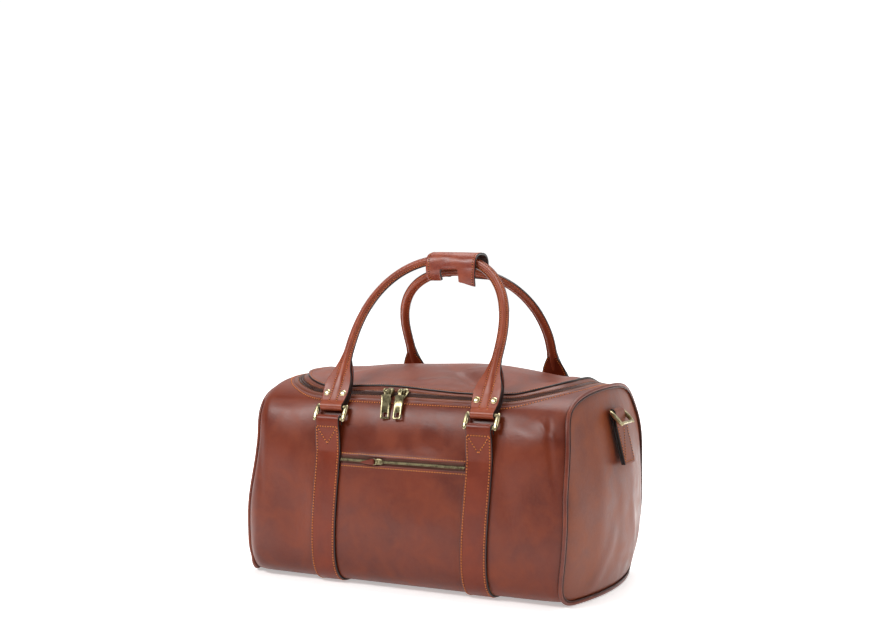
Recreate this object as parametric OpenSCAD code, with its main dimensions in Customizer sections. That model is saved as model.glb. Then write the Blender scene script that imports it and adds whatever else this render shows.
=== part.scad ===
// Leather duffel bag: rolled handles on brass rings, a wide zipped lid and a zipped front pocket.
// X runs along the bag, -Y is the front, Z is up. The origin is under the middle of the base.

/* [Body] */
// Length of the bag between its end seams, at mid height
body_l = 506; // [400:2:600]
// Depth of the leather body at its widest
body_d = 300; // [220:2:360]
// Height of the body to the top of the lid
body_h = 287; // [220:1:340]
// Thickness of the leather walls
wall_t = 3; // [2:0.5:5]
// Radius of the crown of the two end panels
crown_r = 404; // [300:4:900]

/* [Straps and rings] */
// Distance of each strap from the middle
strap_x = 118.5; // [80:0.5:160]
// Width of the straps
strap_w = 40; // [25:1:60]
// Thickness of the straps
strap_t = 2.5; // [1.5:0.5:5]
// Distance between the two bars of a ring
ring_h = 19; // [12:1:40]
// Radius of the ring's leather-carrying bars
ring_bar_r = 2.2; // [1.5:0.1:4]
// Radius of the ring's side bars
ring_side_r = 3.2; // [2:0.1:5]

/* [Handles] */
// Height of a handle above its ring, along the handle
handle_len = 245.8; // [180:1:320]
// Length of the straight part of a handle leg
leg_len = 97; // [60:1:140]
// Radius of the rolled grip
grip_r = 6.3; // [4:0.1:10]
// Length of the leather wrap that holds the grips together
wrap_l = 78; // [50:1:120]
// Distance of the wrap from the middle
wrap_x = 15; // [-30:1:30]
// How far the wrap hangs down from its top
wrap_h = 40; // [25:1:60]

/* [Lid and main zip] */
// Half of the lid's length
lid_w = 205; // [150:1:230]
// Distance of the lid's front edge from the middle
lid_f = 96; // [70:1:120]
// Radius of the lid's front corners
lid_r = 75; // [20:1:90]
// Width of the leather strip on each side of the zip chain
gusset_w = 8; // [4:1:14]
// Width of each half of the zip chain
coil_w = 2.8; // [2:0.1:5]
// Gap between the two halves of the chain
coil_gap = 0.4; // [0.3:0.1:1]
// Place of the left slider along the bag
slider_l_x = -36; // [-80:1:0]
// Place of the right slider along the bag
slider_r_x = -12; // [-20:1:80]
// Length of the main zip pulls
pull_len = 38; // [20:1:50]

/* [Front pocket] */
// Height of the pocket zip above the ground
pocket_z = 181; // [120:1:220]
// Half of the length of the pocket zip
pocket_w = 97; // [60:1:98]
// Place of the pocket slider along the bag
pocket_slider_x = -30; // [-80:1:80]

/* [End tabs] */
// Width of the tabs on the bag's ends
tab_w = 42; // [25:1:60]
// Height of the tab's loop above the ground
tab_top = 252; // [200:1:270]
// Length of the tab below its loop
tab_len = 74; // [40:1:100]

/* [Hidden] */
$fn = 48;
leather = [0.50, 0.22, 0.13];
leather_dark = [0.38, 0.16, 0.10];
brass = [0.60, 0.50, 0.30];
cloth = [0.16, 0.13, 0.11];
// the front half of the section: four curves from the base to the middle of the top
sd = body_d / 301.6;
sh = (body_h - strap_t) / 288;
curve = [
  [[-104, 0], [-132, 0], [-143, 14], [-147, 48]],
  [[-147, 48], [-151, 84], [-151.5, 120], [-149, 160]],
  [[-149, 160], [-146, 208], [-140, 242], [-122, 262]],
  [[-122, 262], [-100, 283], [-50, 288], [0, 288]]];
n_seg = 8;
last = 4 * n_seg;
function bez(c, t) = pow(1 - t, 3) * c[0] + 3 * t * pow(1 - t, 2) * c[1]
  + 3 * t * t * (1 - t) * c[2] + pow(t, 3) * c[3];
function raw(i) = i <= 0 ? bez(curve[0], 0) : i >= last ? bez(curve[3], 1)
  : bez(curve[floor(i / n_seg)], i / n_seg - floor(i / n_seg));
function pt(i) = [raw(i)[0] * sd, raw(i)[1] * sh + strap_t];
function slope(i) = i <= 0 ? [-1, 0] : i >= last ? [1, 0]
  : (pt(i + 1) - pt(i - 1)) / norm(pt(i + 1) - pt(i - 1));
// a point of the section moved inwards by d
function inset(i, d) = pt(i) + d * [slope(i)[1], -slope(i)[0]];
function arc(a, b, d) = [for (i = [a:b]) inset(i, d)];
function backwards(v) = [for (i = [len(v) - 1:-1:0]) v[i]];
function mirrored(v) = [for (p = v) [-p[0], p[1]]];
function outline(d) = concat(arc(0, last, d), backwards(mirrored(arc(0, last - 1, d))));
tilt = 31.52;
bar_y = -136;
bar_z = 253.1;
low_y = bar_y - ring_h * sin(tilt);
low_z = bar_z - ring_h * cos(tilt);
crown_x = body_l / 2 + 27;
crown_z = 125;
hinge_y = 98;
hinge_z = 275;
coil_a = gusset_w + coil_w;
coil_b = coil_a + coil_gap;
coil_c = coil_b + coil_w;
opening = coil_c + gusset_w;
grip_n = 10;
arch_x = 6;

// a length of wall between two points of the section, on the front side
module strip(a, b, d1, d2, x1, x2) {
  translate([x1, 0, 0])
    rotate([90, 0, 90])
      linear_extrude(x2 - x1)
        polygon(concat(arc(a, b, d1), backwards(arc(a, b, d2))));
}

module rear() {
  mirror([0, 1, 0]) children();
}

module left() {
  mirror([1, 0, 0]) children();
}

// everything inside a crowned end, d inwards of its outer face
module inside_right(d) {
  translate([crown_x - crown_r, 0, crown_z]) sphere(crown_r - d, $fn = 96);
}

module inside_left(d) {
  translate([crown_r - crown_x, 0, crown_z]) sphere(crown_r - d, $fn = 96);
}

// the lid's outline seen from above, grown by g, with its sides running back to y
module lid_plan(g, y) {
  union() {
    translate([-(lid_w - lid_r), -(lid_f + g)]) square([2 * (lid_w - lid_r), lid_f + g + y]);
    translate([-(lid_w + g), -(lid_f - lid_r)]) square([2 * (lid_w + g), lid_f - lid_r + y]);
    translate([-(lid_w - lid_r), -(lid_f - lid_r)]) circle(lid_r + g, $fn = 96);
    translate([lid_w - lid_r, -(lid_f - lid_r)]) circle(lid_r + g, $fn = 96);
  }
}

module top_shell(d1, d2) {
  translate([-260, 0, 0])
    rotate([90, 0, 90])
      linear_extrude(520)
        polygon(concat(arc(20, last, d1), backwards(mirrored(arc(20, last - 1, d1))),
          mirrored(arc(20, last, d2)), backwards(arc(20, last - 1, d2))));
}

// a band of the top that follows the lid's outline between two growths
module zip_band(g1, g2, d1, d2) {
  intersection() {
    top_shell(d1, d2);
    translate([0, 0, 200])
      linear_extrude(120)
        difference() {
          lid_plan(g2, hinge_y - 4);
          lid_plan(g1, hinge_y + 10);
        }
  }
}

module lid_skin(g, d1, d2) {
  intersection() {
    top_shell(d1, d2);
    translate([0, 0, 200]) linear_extrude(120) lid_plan(g, hinge_y - 4);
  }
}

module wall(a) {
  difference() {
    intersection() {
      strip(a, last, 0, wall_t, -280, 280);
      inside_right(4.2);
      inside_left(4.2);
    }
    translate([0, 0, 200]) linear_extrude(120) lid_plan(opening, hinge_y + 4);
  }
}

module front_panel() {
  color(leather) difference() {
    wall(2);
    translate([-pocket_w, -170, pocket_z - 5]) cube([2 * pocket_w, 60, 10]);
  }
}

// the back panel runs over the top to the fold that carries the lid
module back_panel() {
  color(leather) difference() {
    rear() intersection() {
      strip(2, last, 0, wall_t, -280, 280);
      inside_right(4.2);
      inside_left(4.2);
    }
    translate([0, 0, 200]) linear_extrude(120) lid_plan(opening, hinge_y + 4);
  }
}

module bottom_panel() {
  color(leather_dark) intersection() {
    translate([-280, 0, 0])
      rotate([90, 0, 90])
        linear_extrude(560)
          polygon(concat(backwards(arc(0, 2, 0)), mirrored(arc(0, 2, 0)),
            backwards(mirrored(arc(0, 2, wall_t))), arc(0, 2, wall_t)));
    inside_right(4.2);
    inside_left(4.2);
  }
}

module end_plate(d1, d2, inner) {
  intersection() {
    difference() {
      translate([crown_x - crown_r, 0, crown_z]) sphere(crown_r - d1, $fn = 96);
      translate([crown_x - crown_r, 0, crown_z]) sphere(crown_r - d2, $fn = 96);
    }
    translate([200, 0, 0]) rotate([90, 0, 90]) linear_extrude(120) polygon(outline(inner));
  }
}

module end_panel_right() {
  color(leather) end_plate(0, 3, 4.2);
}

module end_panel_left() {
  color(leather) left() end_plate(0, 3, 4.2);
}

// the corded seam round an end panel
module piping() {
  difference() {
    end_plate(-1.5, 4, -1.2);
    translate([190, 0, 0]) rotate([90, 0, 90]) linear_extrude(140) polygon(outline(4));
  }
}

module piping_right() {
  color(leather_dark) difference() {
    piping();
    translate([180, -140, -10]) cube([120, 280, 10]);
  }
}

module piping_left() {
  color(leather_dark) left() difference() {
    piping();
    translate([180, -140, -10]) cube([120, 280, 10]);
  }
}

// the cloth lining: a trough open under the zip
module lining() {
  color(cloth) difference() {
    intersection() {
      translate([-280, 0, 0]) rotate([90, 0, 90]) linear_extrude(560) polygon(outline(5.6));
      inside_right(5.8);
      inside_left(5.8);
    }
    intersection() {
      translate([-280, 0, 0]) rotate([90, 0, 90]) linear_extrude(560) polygon(outline(6.6));
      inside_right(6.8);
      inside_left(6.8);
    }
    translate([-280, -170, 255]) cube([560, 340, 60]);
  }
}

module base_board() {
  color(cloth) translate([-222, -96, strap_t + 7]) cube([444, 192, 2.5]);
}

module zip_gusset_body() {
  color(leather_dark) zip_band(coil_c + 0.05, opening - 0.1, 0.8, 2.8);
}

module zip_coil_body() {
  color(cloth) zip_band(coil_b, coil_c, 1, 2.8);
}

module zip_gusset_lid() {
  color(leather_dark) zip_band(0.1, gusset_w - 0.05, 1.6, 3.2);
}

module zip_coil_lid() {
  color(cloth) zip_band(gusset_w, coil_a, 1, 2.8);
}

module lid_panel() {
  color(leather) lid_skin(0, -1.5, 1.4);
}

module lid_lining() {
  color(cloth) lid_skin(-2, 1.6, 2.8);
}

// the fold of leather that the lid turns on
module lid_hinge_fold() {
  color(leather_dark) translate([-lid_w, hinge_y, hinge_z]) rotate([0, 90, 0]) cylinder(r = 2.5, h = 2 * lid_w);
}

module strap_side() {
  strip(2, 21, -strap_t, -0.05, strap_x - strap_w / 2, strap_x + strap_w / 2);
}

module strap_front_right() {
  color(leather) strap_side();
}

module strap_front_left() {
  color(leather) left() strap_side();
}

module strap_rear_right() {
  color(leather) rear() strap_side();
}

module strap_rear_left() {
  color(leather) rear() left() strap_side();
}

module strap_base() {
  translate([strap_x - strap_w / 2, 0, 0])
    rotate([90, 0, 90])
      linear_extrude(strap_w)
        polygon(concat(backwards(arc(0, 2, -strap_t)), mirrored(arc(0, 2, -strap_t)),
          backwards(mirrored(arc(0, 2, -0.05))), arc(0, 2, -0.05)));
}

module strap_base_right() {
  color(leather_dark) strap_base();
}

module strap_base_left() {
  color(leather_dark) left() strap_base();
}

// the top of a strap, folded round the ring's lower bar
module strap_loop() {
  difference() {
    union() {
      translate([-19, low_y, low_z]) rotate([0, 90, 0]) cylinder(r = 4.7, h = 38);
      translate([-19, low_y - 1.5, low_z - 14]) cube([38, 3.2, 12]);
    }
    translate([-30, low_y, low_z]) rotate([0, 90, 0]) cylinder(r = ring_bar_r + 0.4, h = 60);
  }
}

module strap_loops_front() {
  color(leather) union() {
    translate([strap_x, 0, 0]) strap_loop();
    translate([-strap_x, 0, 0]) strap_loop();
  }
}

module strap_loops_rear() {
  color(leather) rear() union() {
    translate([strap_x, 0, 0]) strap_loop();
    translate([-strap_x, 0, 0]) strap_loop();
  }
}

// places things in a handle's own frame: Z along its legs, the origin on the ring's upper bar
module on_handle() {
  translate([0, bar_y, bar_z]) rotate([-tilt, 0, 0]) children();
}

// a brass ring with two thin bars and two thick, rounded sides
module ring(x) {
  on_handle() translate([x, 0, 0]) union() {
    translate([-23.8, 0, 0]) rotate([0, 90, 0]) cylinder(r = ring_bar_r, h = 47.6);
    translate([-23.8, 0, -ring_h]) rotate([0, 90, 0]) cylinder(r = ring_bar_r, h = 47.6);
    for (s = [-1, 1]) {
      translate([s * 23.8, 0, -ring_h]) cylinder(r = ring_side_r, h = ring_h);
      translate([s * 23.8, 0, 0]) sphere(ring_side_r);
      translate([s * 23.8, 0, -ring_h]) sphere(ring_side_r);
    }
  }
}

module ring_front_left() {
  color(brass) ring(-strap_x);
}

module ring_front_right() {
  color(brass) ring(strap_x);
}

module ring_rear_left() {
  color(brass) rear() ring(-strap_x);
}

module ring_rear_right() {
  color(brass) rear() ring(strap_x);
}

// a flat handle end: folded round the ring's upper bar, wide at the rivets, narrow at the grip
module handle_tab(x) {
  on_handle() translate([x, 0, 0]) difference() {
    union() {
      translate([-18, 0, 0]) rotate([0, 90, 0]) cylinder(r = 4.6, h = 36);
      translate([0, 2.5, 0])
        rotate([90, 0, 0])
          linear_extrude(5)
            polygon([[-18, 0], [18, 0], [18, 7], [22, 12], [22, 26], [15, 36], [9, 43],
              [-9, 43], [-15, 36], [-22, 26], [-22, 12], [-18, 7]]);
    }
    translate([-30, 0, 0]) rotate([0, 90, 0]) cylinder(r = ring_bar_r + 0.4, h = 60);
    for (s = [-1, 1]) translate([s * 13, 0, 20]) rotate([90, 0, 0]) cylinder(r = 1.6, h = 12, center = true);
  }
}

module handle_front_tabs() {
  color(leather) union() {
    handle_tab(strap_x);
    handle_tab(-strap_x);
  }
}

module handle_rear_tabs() {
  color(leather) rear() union() {
    handle_tab(strap_x);
    handle_tab(-strap_x);
  }
}

// the line of a rolled grip: two straight legs joined by a full, slightly lopsided arch
function leg(z) = [strap_x, z];
function full(v) = sign(v) * pow(abs(v), 0.87);
function arch(a) = [arch_x + (strap_x - sign(cos(a)) * arch_x) * full(cos(a)),
  leg_len + (handle_len - leg_len) * full(sin(a))];
line = concat([leg(43.2), leg(56), leg(70), leg(84)], [for (a = [0:9:180]) arch(a)],
  [[-strap_x, 84], [-strap_x, 70], [-strap_x, 56], [-strap_x, 43.2]]);
n_line = len(line);
function way(i) = let(a = line[max(i - 1, 0)], b = line[min(i + 1, n_line - 1)]) (b - a) / norm(b - a);
function loop(i, r) = [for (k = [0:grip_n - 1]) let(a = 360 * k / grip_n)
  [line[i][0] + r * cos(a) * way(i)[1], r * sin(a), line[i][1] - r * cos(a) * way(i)[0]]];
function quad(a, b, c, d) = [[a, b, c], [a, c, d]];
// a tube along the grip's line, with a hole of radius r0 when r0 is above 0
module tube(r, r0) {
  n = grip_n;
  m = n_line;
  outer = [for (i = [0:m - 1]) each loop(i, r)];
  inner = [for (i = [0:m - 1]) each loop(i, r0)];
  k0 = m * n;
  sides = [for (i = [0:m - 2], k = [0:n - 1])
    each quad(i * n + k, i * n + (k + 1) % n, (i + 1) * n + (k + 1) % n, (i + 1) * n + k)];
  bore = [for (i = [0:m - 2], k = [0:n - 1])
    each quad(k0 + i * n + k, k0 + (i + 1) * n + k, k0 + (i + 1) * n + (k + 1) % n, k0 + i * n + (k + 1) % n)];
  e = (m - 1) * n;
  rims = [for (k = [0:n - 1]) each concat(
    quad(k, k0 + k, k0 + (k + 1) % n, (k + 1) % n),
    quad(e + k, e + (k + 1) % n, k0 + e + (k + 1) % n, k0 + e + k))];
  caps = concat([for (k = [1:n - 2]) [0, k + 1, k]], [for (k = [1:n - 2]) [e, e + k, e + k + 1]]);
  if (r0 > 0)
    polyhedron(concat(outer, inner), concat(sides, bore, rims));
  else
    polyhedron(outer, concat(sides, caps));
}

module handle_front_grip() {
  color(leather) on_handle() tube(grip_r, grip_r - 2);
}

module handle_rear_grip() {
  color(leather) rear() on_handle() tube(grip_r, grip_r - 2);
}

// the cord that the grip's leather is rolled round
module handle_front_core() {
  color(cloth) on_handle() tube(grip_r - 2.25, 0);
}

module handle_rear_core() {
  color(cloth) rear() on_handle() tube(grip_r - 2.25, 0);
}

module rivet(x) {
  translate([x, 0, 20]) rotate([90, 0, 0]) union() {
    cylinder(r = 1.5, h = 6, center = true);
    translate([0, 0, 2.55]) cylinder(r = 4.2, h = 1.6);
    translate([0, 0, -4.15]) cylinder(r = 4.2, h = 1.6);
  }
}

module rivets() {
  on_handle() for (x = [-strap_x, strap_x], s = [-1, 1]) rivet(x + s * 13);
}

module handle_front_rivets() {
  color(brass) rivets();
}

module handle_rear_rivets() {
  color(brass) rear() rivets();
}

top_y = bar_y + handle_len * sin(tilt);
top_z = bar_z + handle_len * cos(tilt);
wrap_in = -top_y + grip_r + 2;
wrap_wide = 5;
wrap_top = top_z + grip_r + 0.7;
// the saddle's plan, d outside its inner faces, running e past its ends
function wrap_plan(d, e) = [[wrap_x - wrap_l / 2 - e, -wrap_in - d], [wrap_x + wrap_l / 2 + e, -wrap_in - wrap_wide - d],
  [wrap_x + wrap_l / 2 + e, wrap_in + wrap_wide + d], [wrap_x - wrap_l / 2 - e, wrap_in + d]];

// a saddle of leather over both grips, its skirts notched in the middle
module handle_wrap() {
  color(leather) difference() {
    translate([0, 0, wrap_top + 3 - wrap_h]) linear_extrude(wrap_h) polygon(wrap_plan(3, 0));
    translate([0, 0, wrap_top - wrap_h]) linear_extrude(wrap_h) polygon(wrap_plan(0, 1));
    translate([wrap_x - 18, -wrap_in - 12, wrap_top - wrap_h])
      cube([34, 2 * wrap_in + 24, 20]);
  }
}

module wrap_snaps() {
  color(brass) for (x = [wrap_x - 28, wrap_x + 28])
    translate([x, wrap_in + 3.05 + wrap_wide * (x - wrap_x + wrap_l / 2 + 5) / wrap_l, wrap_top + 12 - wrap_h])
      rotate([-90, 0, 0]) cylinder(r = 5, h = 1.8);
}

// places things on the zip's front stretch: Y up the slope towards the lid, Z away from it
zip_y = -(lid_f + coil_a + coil_gap / 2);
zip_z = 272.6;
zip_slope = 31;
module on_zip(x) {
  translate([x, zip_y, zip_z]) rotate([zip_slope, 0, 0]) children();
}

module slider_body(x) {
  on_zip(x) union() {
    translate([-7.5, -8.2, 0.8]) cube([15, 7.6, 2.4]);
    for (s = [-5, 3.2]) translate([s, -6.4, 3]) cube([1.8, 4, 5.6]);
    translate([-4, -4.4, 7.1]) rotate([0, 90, 0]) cylinder(r = 1.1, h = 8);
  }
}

module slider_left() {
  color(brass) slider_body(slider_l_x);
}

module slider_right() {
  color(brass) slider_body(slider_r_x);
}

// where a pull hangs: the bridge of its slider
bridge_y = zip_y - 4.4 * cos(zip_slope) - 7.1 * sin(zip_slope);
bridge_z = zip_z - 4.4 * sin(zip_slope) + 7.1 * cos(zip_slope);
pull_lean = 27;
// a flat plate with an eye round the slider's bar and a square window near its foot
module pull(x) {
  translate([x, bridge_y, bridge_z]) rotate([-pull_lean, 0, 0]) difference() {
    union() {
      translate([-2.6, 0, 0]) rotate([0, 90, 0]) cylinder(r = 2.9, h = 5.2);
      translate([-2.6, -5.6, -3]) cube([5.2, 5.4, 1.4]);
      translate([-2.6, -5.6, -7.4]) cube([5.2, 2, 5.8]);
      translate([-5.5, -5.6, -pull_len]) cube([11, 2, pull_len - 7]);
    }
    translate([-4, 0, 0]) rotate([0, 90, 0]) cylinder(r = 1.4, h = 8);
    translate([-3, -8, -pull_len + 4]) cube([6, 12, 6]);
  }
}

module pull_left() {
  color(brass) pull(slider_l_x);
}

module pull_right() {
  color(brass) pull(slider_r_x);
}

// the pocket zip lies in a slot of the front panel
pocket_y = -147.6;
module pocket_zip_tape() {
  color(cloth) for (z = [pocket_z + 1.9, pocket_z - 4.9])
    translate([-pocket_w + 0.1, pocket_y + 0.6, z]) cube([2 * pocket_w - 0.2, 1.6, 3]);
}

module pocket_zip_teeth() {
  color(brass) translate([-pocket_w + 1, pocket_y + 0.2, pocket_z - 1.8]) cube([2 * pocket_w - 2, 2, 3.6]);
}

module pocket_slider() {
  color(brass) translate([pocket_slider_x, pocket_y, pocket_z]) union() {
    translate([-6, -2.6, -4.2]) cube([12, 2.3, 8.4]);
    for (z = [-3.2, 2]) translate([-4.6, -5.9, z]) cube([2.4, 3.4, 1.2]);
    translate([-3.4, -4.8, -2.5]) cylinder(r = 0.9, h = 5);
  }
}

// a leather tab on a wire link, lying along the zip
module pocket_pull() {
  color(leather) translate([pocket_slider_x - 3.4, pocket_y - 4.8, pocket_z]) difference() {
    union() {
      translate([-23, -1.3, -4]) cube([18, 2.6, 8]);
      translate([-5.5, -0.8, -1.6]) cube([4.5, 1.6, 3.2]);
      translate([0, 0, -1.6]) cylinder(r = 1.9, h = 3.2);
    }
    translate([0, 0, -3]) cylinder(r = 1.2, h = 6);
  }
}

module pocket_bag() {
  color(cloth) intersection() {
    strip(6, 24, wall_t + 0.3, wall_t + 2.2, -pocket_w, pocket_w);
    translate([-200, -200, 62]) cube([400, 200, pocket_z - 5 - 62]);
  }
}

// the crown of an end panel at a height, on the bag's middle
function end_x(z) = crown_x - crown_r + sqrt(crown_r * crown_r - pow(z - crown_z, 2));
tab_lean = 13;
module on_end() {
  translate([end_x(tab_top) + 5.2, 0, tab_top]) rotate([0, -tab_lean, 0]) children();
}

module end_tab() {
  difference() {
    union() {
      on_end() translate([0, -tab_w / 2 + 3, 0]) rotate([-90, 0, 0]) cylinder(r = 4.4, h = tab_w - 6);
      difference() {
        on_end() translate([-2.4, -tab_w / 2, -tab_len]) cube([6, tab_w, tab_len - 13]);
        translate([crown_x - crown_r, 0, crown_z]) sphere(crown_r + 0.2, $fn = 96);
      }
      on_end() translate([-0.8, -tab_w / 2 + 3, -14]) cube([3.2, tab_w - 6, 12]);
    }
    on_end() translate([0, -40, 0]) rotate([-90, 0, 0]) cylinder(r = 2.4, h = 80);
  }
}

module end_tab_right() {
  color(leather) end_tab();
}

module end_tab_left() {
  color(leather) left() end_tab();
}

// a rectangular ring through the tab's loop, standing out and down
module end_ring() {
  on_end() rotate([0, 58, 0]) union() {
    translate([0, -22, 0]) rotate([-90, 0, 0]) cylinder(r = 2, h = 44);
    translate([20, -22, 0]) rotate([-90, 0, 0]) cylinder(r = 2, h = 44);
    for (y = [-22, 22]) {
      translate([0, y, 0]) rotate([0, 90, 0]) union() {
        cylinder(r = 2.4, h = 20);
        sphere(2.4);
        translate([0, 0, 20]) sphere(2.4);
      }
    }
  }
}

module end_ring_right() {
  color(brass) end_ring();
}

module end_ring_left() {
  color(brass) left() end_ring();
}

front_panel();
back_panel();
bottom_panel();
end_panel_left();
end_panel_right();
piping_left();
piping_right();
lining();
base_board();
zip_gusset_body();
zip_coil_body();
lid_hinge_fold();
lid_panel();
lid_lining();
zip_gusset_lid();
zip_coil_lid();
slider_left();
slider_right();
pull_left();
pull_right();
strap_front_left();
strap_front_right();
strap_base_left();
strap_base_right();
strap_rear_left();
strap_rear_right();
strap_loops_front();
strap_loops_rear();
ring_front_left();
ring_front_right();
ring_rear_left();
ring_rear_right();
handle_front_tabs();
handle_front_grip();
handle_front_core();
handle_front_rivets();
handle_rear_tabs();
handle_rear_grip();
handle_rear_core();
handle_rear_rivets();
handle_wrap();
wrap_snaps();
pocket_zip_tape();
pocket_zip_teeth();
pocket_slider();
pocket_pull();
pocket_bag();
end_tab_left();
end_tab_right();
end_ring_left();
end_ring_right();
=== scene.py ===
import math

import bpy
import numpy as np
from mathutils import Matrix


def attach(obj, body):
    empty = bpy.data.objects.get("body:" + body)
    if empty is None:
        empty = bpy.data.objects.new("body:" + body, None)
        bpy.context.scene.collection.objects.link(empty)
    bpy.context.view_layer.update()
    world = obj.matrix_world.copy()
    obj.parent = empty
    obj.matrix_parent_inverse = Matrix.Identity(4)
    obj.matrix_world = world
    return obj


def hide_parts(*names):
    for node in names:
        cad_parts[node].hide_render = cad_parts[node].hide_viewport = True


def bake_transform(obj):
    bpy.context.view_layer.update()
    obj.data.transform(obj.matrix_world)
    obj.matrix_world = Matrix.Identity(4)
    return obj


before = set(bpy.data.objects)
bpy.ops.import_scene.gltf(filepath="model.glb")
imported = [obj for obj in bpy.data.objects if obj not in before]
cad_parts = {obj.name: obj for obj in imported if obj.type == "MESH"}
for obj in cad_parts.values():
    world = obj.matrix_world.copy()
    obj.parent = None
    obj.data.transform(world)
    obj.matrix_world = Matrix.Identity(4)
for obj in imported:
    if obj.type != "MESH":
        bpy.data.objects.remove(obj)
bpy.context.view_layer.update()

scene = bpy.context.scene

# ---------------------------------------------------------------- the view
# A long lens a little over two metres away, to the right of the bag's front and level with its rings.
camera = bpy.data.objects.new("camera", bpy.data.cameras.new("camera"))
camera.data.lens = 59.43
camera.data.sensor_width = 36
camera.location = (0.9646, -1.914, 0.4695)
camera.rotation_euler = (math.radians(90 - 2.18), 0, math.radians(26.91))
scene.collection.objects.link(camera)
scene.camera = camera

# ---------------------------------------------------------------- the studio
# A white sweep under large soft boxes: one high at the front left, one at the right end, one overhead.
# The floor is matt paint on a sheet with a painted glow, weak near the bag and towards the front and strong far off;
# the room round it is white.


def add(tree, kind, values={}, links={}, **settings):
    """Adds one shader node: settings are its own, values fill sockets, links join sockets to outputs."""
    n = tree.nodes.new("ShaderNode" + kind)
    for key, value in settings.items():
        setattr(n, key, value)
    for key, value in values.items():
        n.inputs[key].default_value = value
    for key, output in links.items():
        tree.links.new(output, n.inputs[key])
    return n


def paint(code):
    """A colour from its sRGB hex code: each channel is linearised by the sRGB curve."""
    c = [int(code[i:i + 2], 16) / 255 for i in (1, 3, 5)]
    return [v / 12.92 if v <= 0.04045 else ((v + 0.055) / 1.055) ** 2.4 for v in c] + [1.0]


def blank(name):
    """A new material with an empty tree, and its object-space position."""
    m = bpy.data.materials.new(name)
    m.use_nodes = True
    m.node_tree.nodes.clear()
    return m, m.node_tree, add(m.node_tree, "TexCoord").outputs["Object"]


def finish_with(m, shader):
    """Joins a shader to the material's output."""
    add(m.node_tree, "OutputMaterial", links={"Surface": shader.outputs[0]})
    return m


def two_tone(name, first, second, scale, roughness, ior=1.5, bump=(0.0, 0.0), detail=2.0):
    """A material whose colour mixes two by a fine noise; bump is the strength and depth in metres of its relief."""
    m, t, at = blank(name)
    noise = add(t, "TexNoise", {"Scale": scale, "Detail": detail}, {"Vector": at}).outputs["Fac"]
    links = {"Base Color": add(t, "MixRGB", {"Color1": paint(first), "Color2": paint(second)},
                               {"Fac": noise}).outputs[0]}
    if bump[0]:
        links["Normal"] = add(t, "Bump", {"Strength": bump[0], "Distance": bump[1]}, {"Height": noise}).outputs[0]
    return finish_with(m, add(t, "BsdfPrincipled", {"Roughness": roughness, "IOR": ior}, links))


# matt white floor paint, rolled: a barely seen 4 mm stipple, and a painted glow: emission weak within 0.3 m of the bag,
# strong from 0.9 m out and dimmed towards the front
floor_with_painted_glow, t, at = blank("matt_floor_paint")
stipple = add(t, "TexNoise", {"Scale": 250.0, "Detail": 2.0}, {"Vector": at})
relief = add(t, "Bump", {"Strength": 0.1, "Distance": 0.0005}, {"Height": stipple.outputs["Fac"]})
# painted glow: the floor's emission grows with distance from the bag and fades towards the front
far = add(t, "VectorMath", {}, {"Vector": at}, operation="LENGTH")
glow = add(t, "MapRange", {"From Min": 0.3, "From Max": 0.9, "To Min": 0.42, "To Max": 1.1},
           {"Value": far.outputs["Value"]})
ahead = add(t, "VectorMath", {1: (0.45, -0.89, 0.0)}, {0: at}, operation="DOT_PRODUCT")
dim = add(t, "MapRange", {"From Min": 0.45, "From Max": 0.8, "To Min": 1.0, "To Max": 0.03},
          {"Value": ahead.outputs["Value"]})
glow = add(t, "Math", {}, {0: glow.outputs[0], 1: dim.outputs[0]}, operation="MULTIPLY")
finish_with(floor_with_painted_glow, add(t, "BsdfPrincipled",
                             {"Base Color": paint("#f7f6f5"), "Roughness": 0.85, "Emission Color": (1, 1, 1, 1)},
                             {"Normal": relief.outputs[0], "Emission Strength": glow.outputs[0]}))
floor_mesh = bpy.data.meshes.new("floor")
floor_mesh.from_pydata([(-9, -9, -0.0005), (9, -9, -0.0005), (9, 9, -0.0005), (-9, 9, -0.0005)], [], [(0, 1, 2, 3)])
floor_mesh.materials.append(floor_with_painted_glow)
floor = bpy.data.objects.new("floor", floor_mesh)
scene.collection.objects.link(floor)

for name, place, aim, size, power in (
        ("soft_box_front", (-1.25, -1.9, 1.95), (0.0, 0.0, 0.2), (1.8, 0.7), 60.0),
        ("soft_box_right", (2.3, -0.7, 1.5), (0.2, 0.0, 0.16), (1.0, 1.4), 13.0),
        ("soft_box_top", (0.1, 0.5, 2.3), (0.0, 0.0, 0.2), (2.2, 1.3), 46.0)):
    lamp = bpy.data.objects.new(name, bpy.data.lights.new(name, "AREA"))
    lamp.data.shape = "RECTANGLE"
    lamp.data.size, lamp.data.size_y = size
    lamp.data.energy = power
    lamp.location = place
    away = np.array(place) - np.array(aim)
    lamp.rotation_euler = (math.atan2(math.hypot(away[0], away[1]), away[2]), 0, math.atan2(away[0], -away[1]))
    scene.collection.objects.link(lamp)

room = bpy.data.worlds.new("white_room")
room.use_nodes = True
t = room.node_tree
t.nodes.clear()
seen = add(t, "LightPath")
ray = add(t, "SeparateXYZ", links={"Vector": add(t, "TexCoord").outputs["Generated"]})
wall = add(t, "MapRange", {"From Min": -0.1, "From Max": 0.7, "To Min": 0.12, "To Max": 0.75},
           {"Value": ray.outputs["Y"]})
strength = add(t, "MapRange", {"To Max": 1.05}, {"Value": seen.outputs["Is Camera Ray"], "To Min": wall.outputs[0]})
sky = add(t, "Background", {"Color": (1, 1, 1, 1)}, {"Strength": strength.outputs[0]})
add(t, "OutputWorld", links={"Surface": sky.outputs[0]})
scene.world = room
scene.view_settings.view_transform = "Standard"

# ---------------------------------------------------------------- the leather walls
# Front, back and bottom are 2 to 3 mm vegetable-tanned pull-up leather, cut flat and pulled round by the seams,
# so they pillow between the straps, sink beside the corded end seams and carry soft dents from packing.
body_half = 103.4                    # half of the flat bottom, mm
bag_middle = np.array([0, 0, 145.0])


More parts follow.
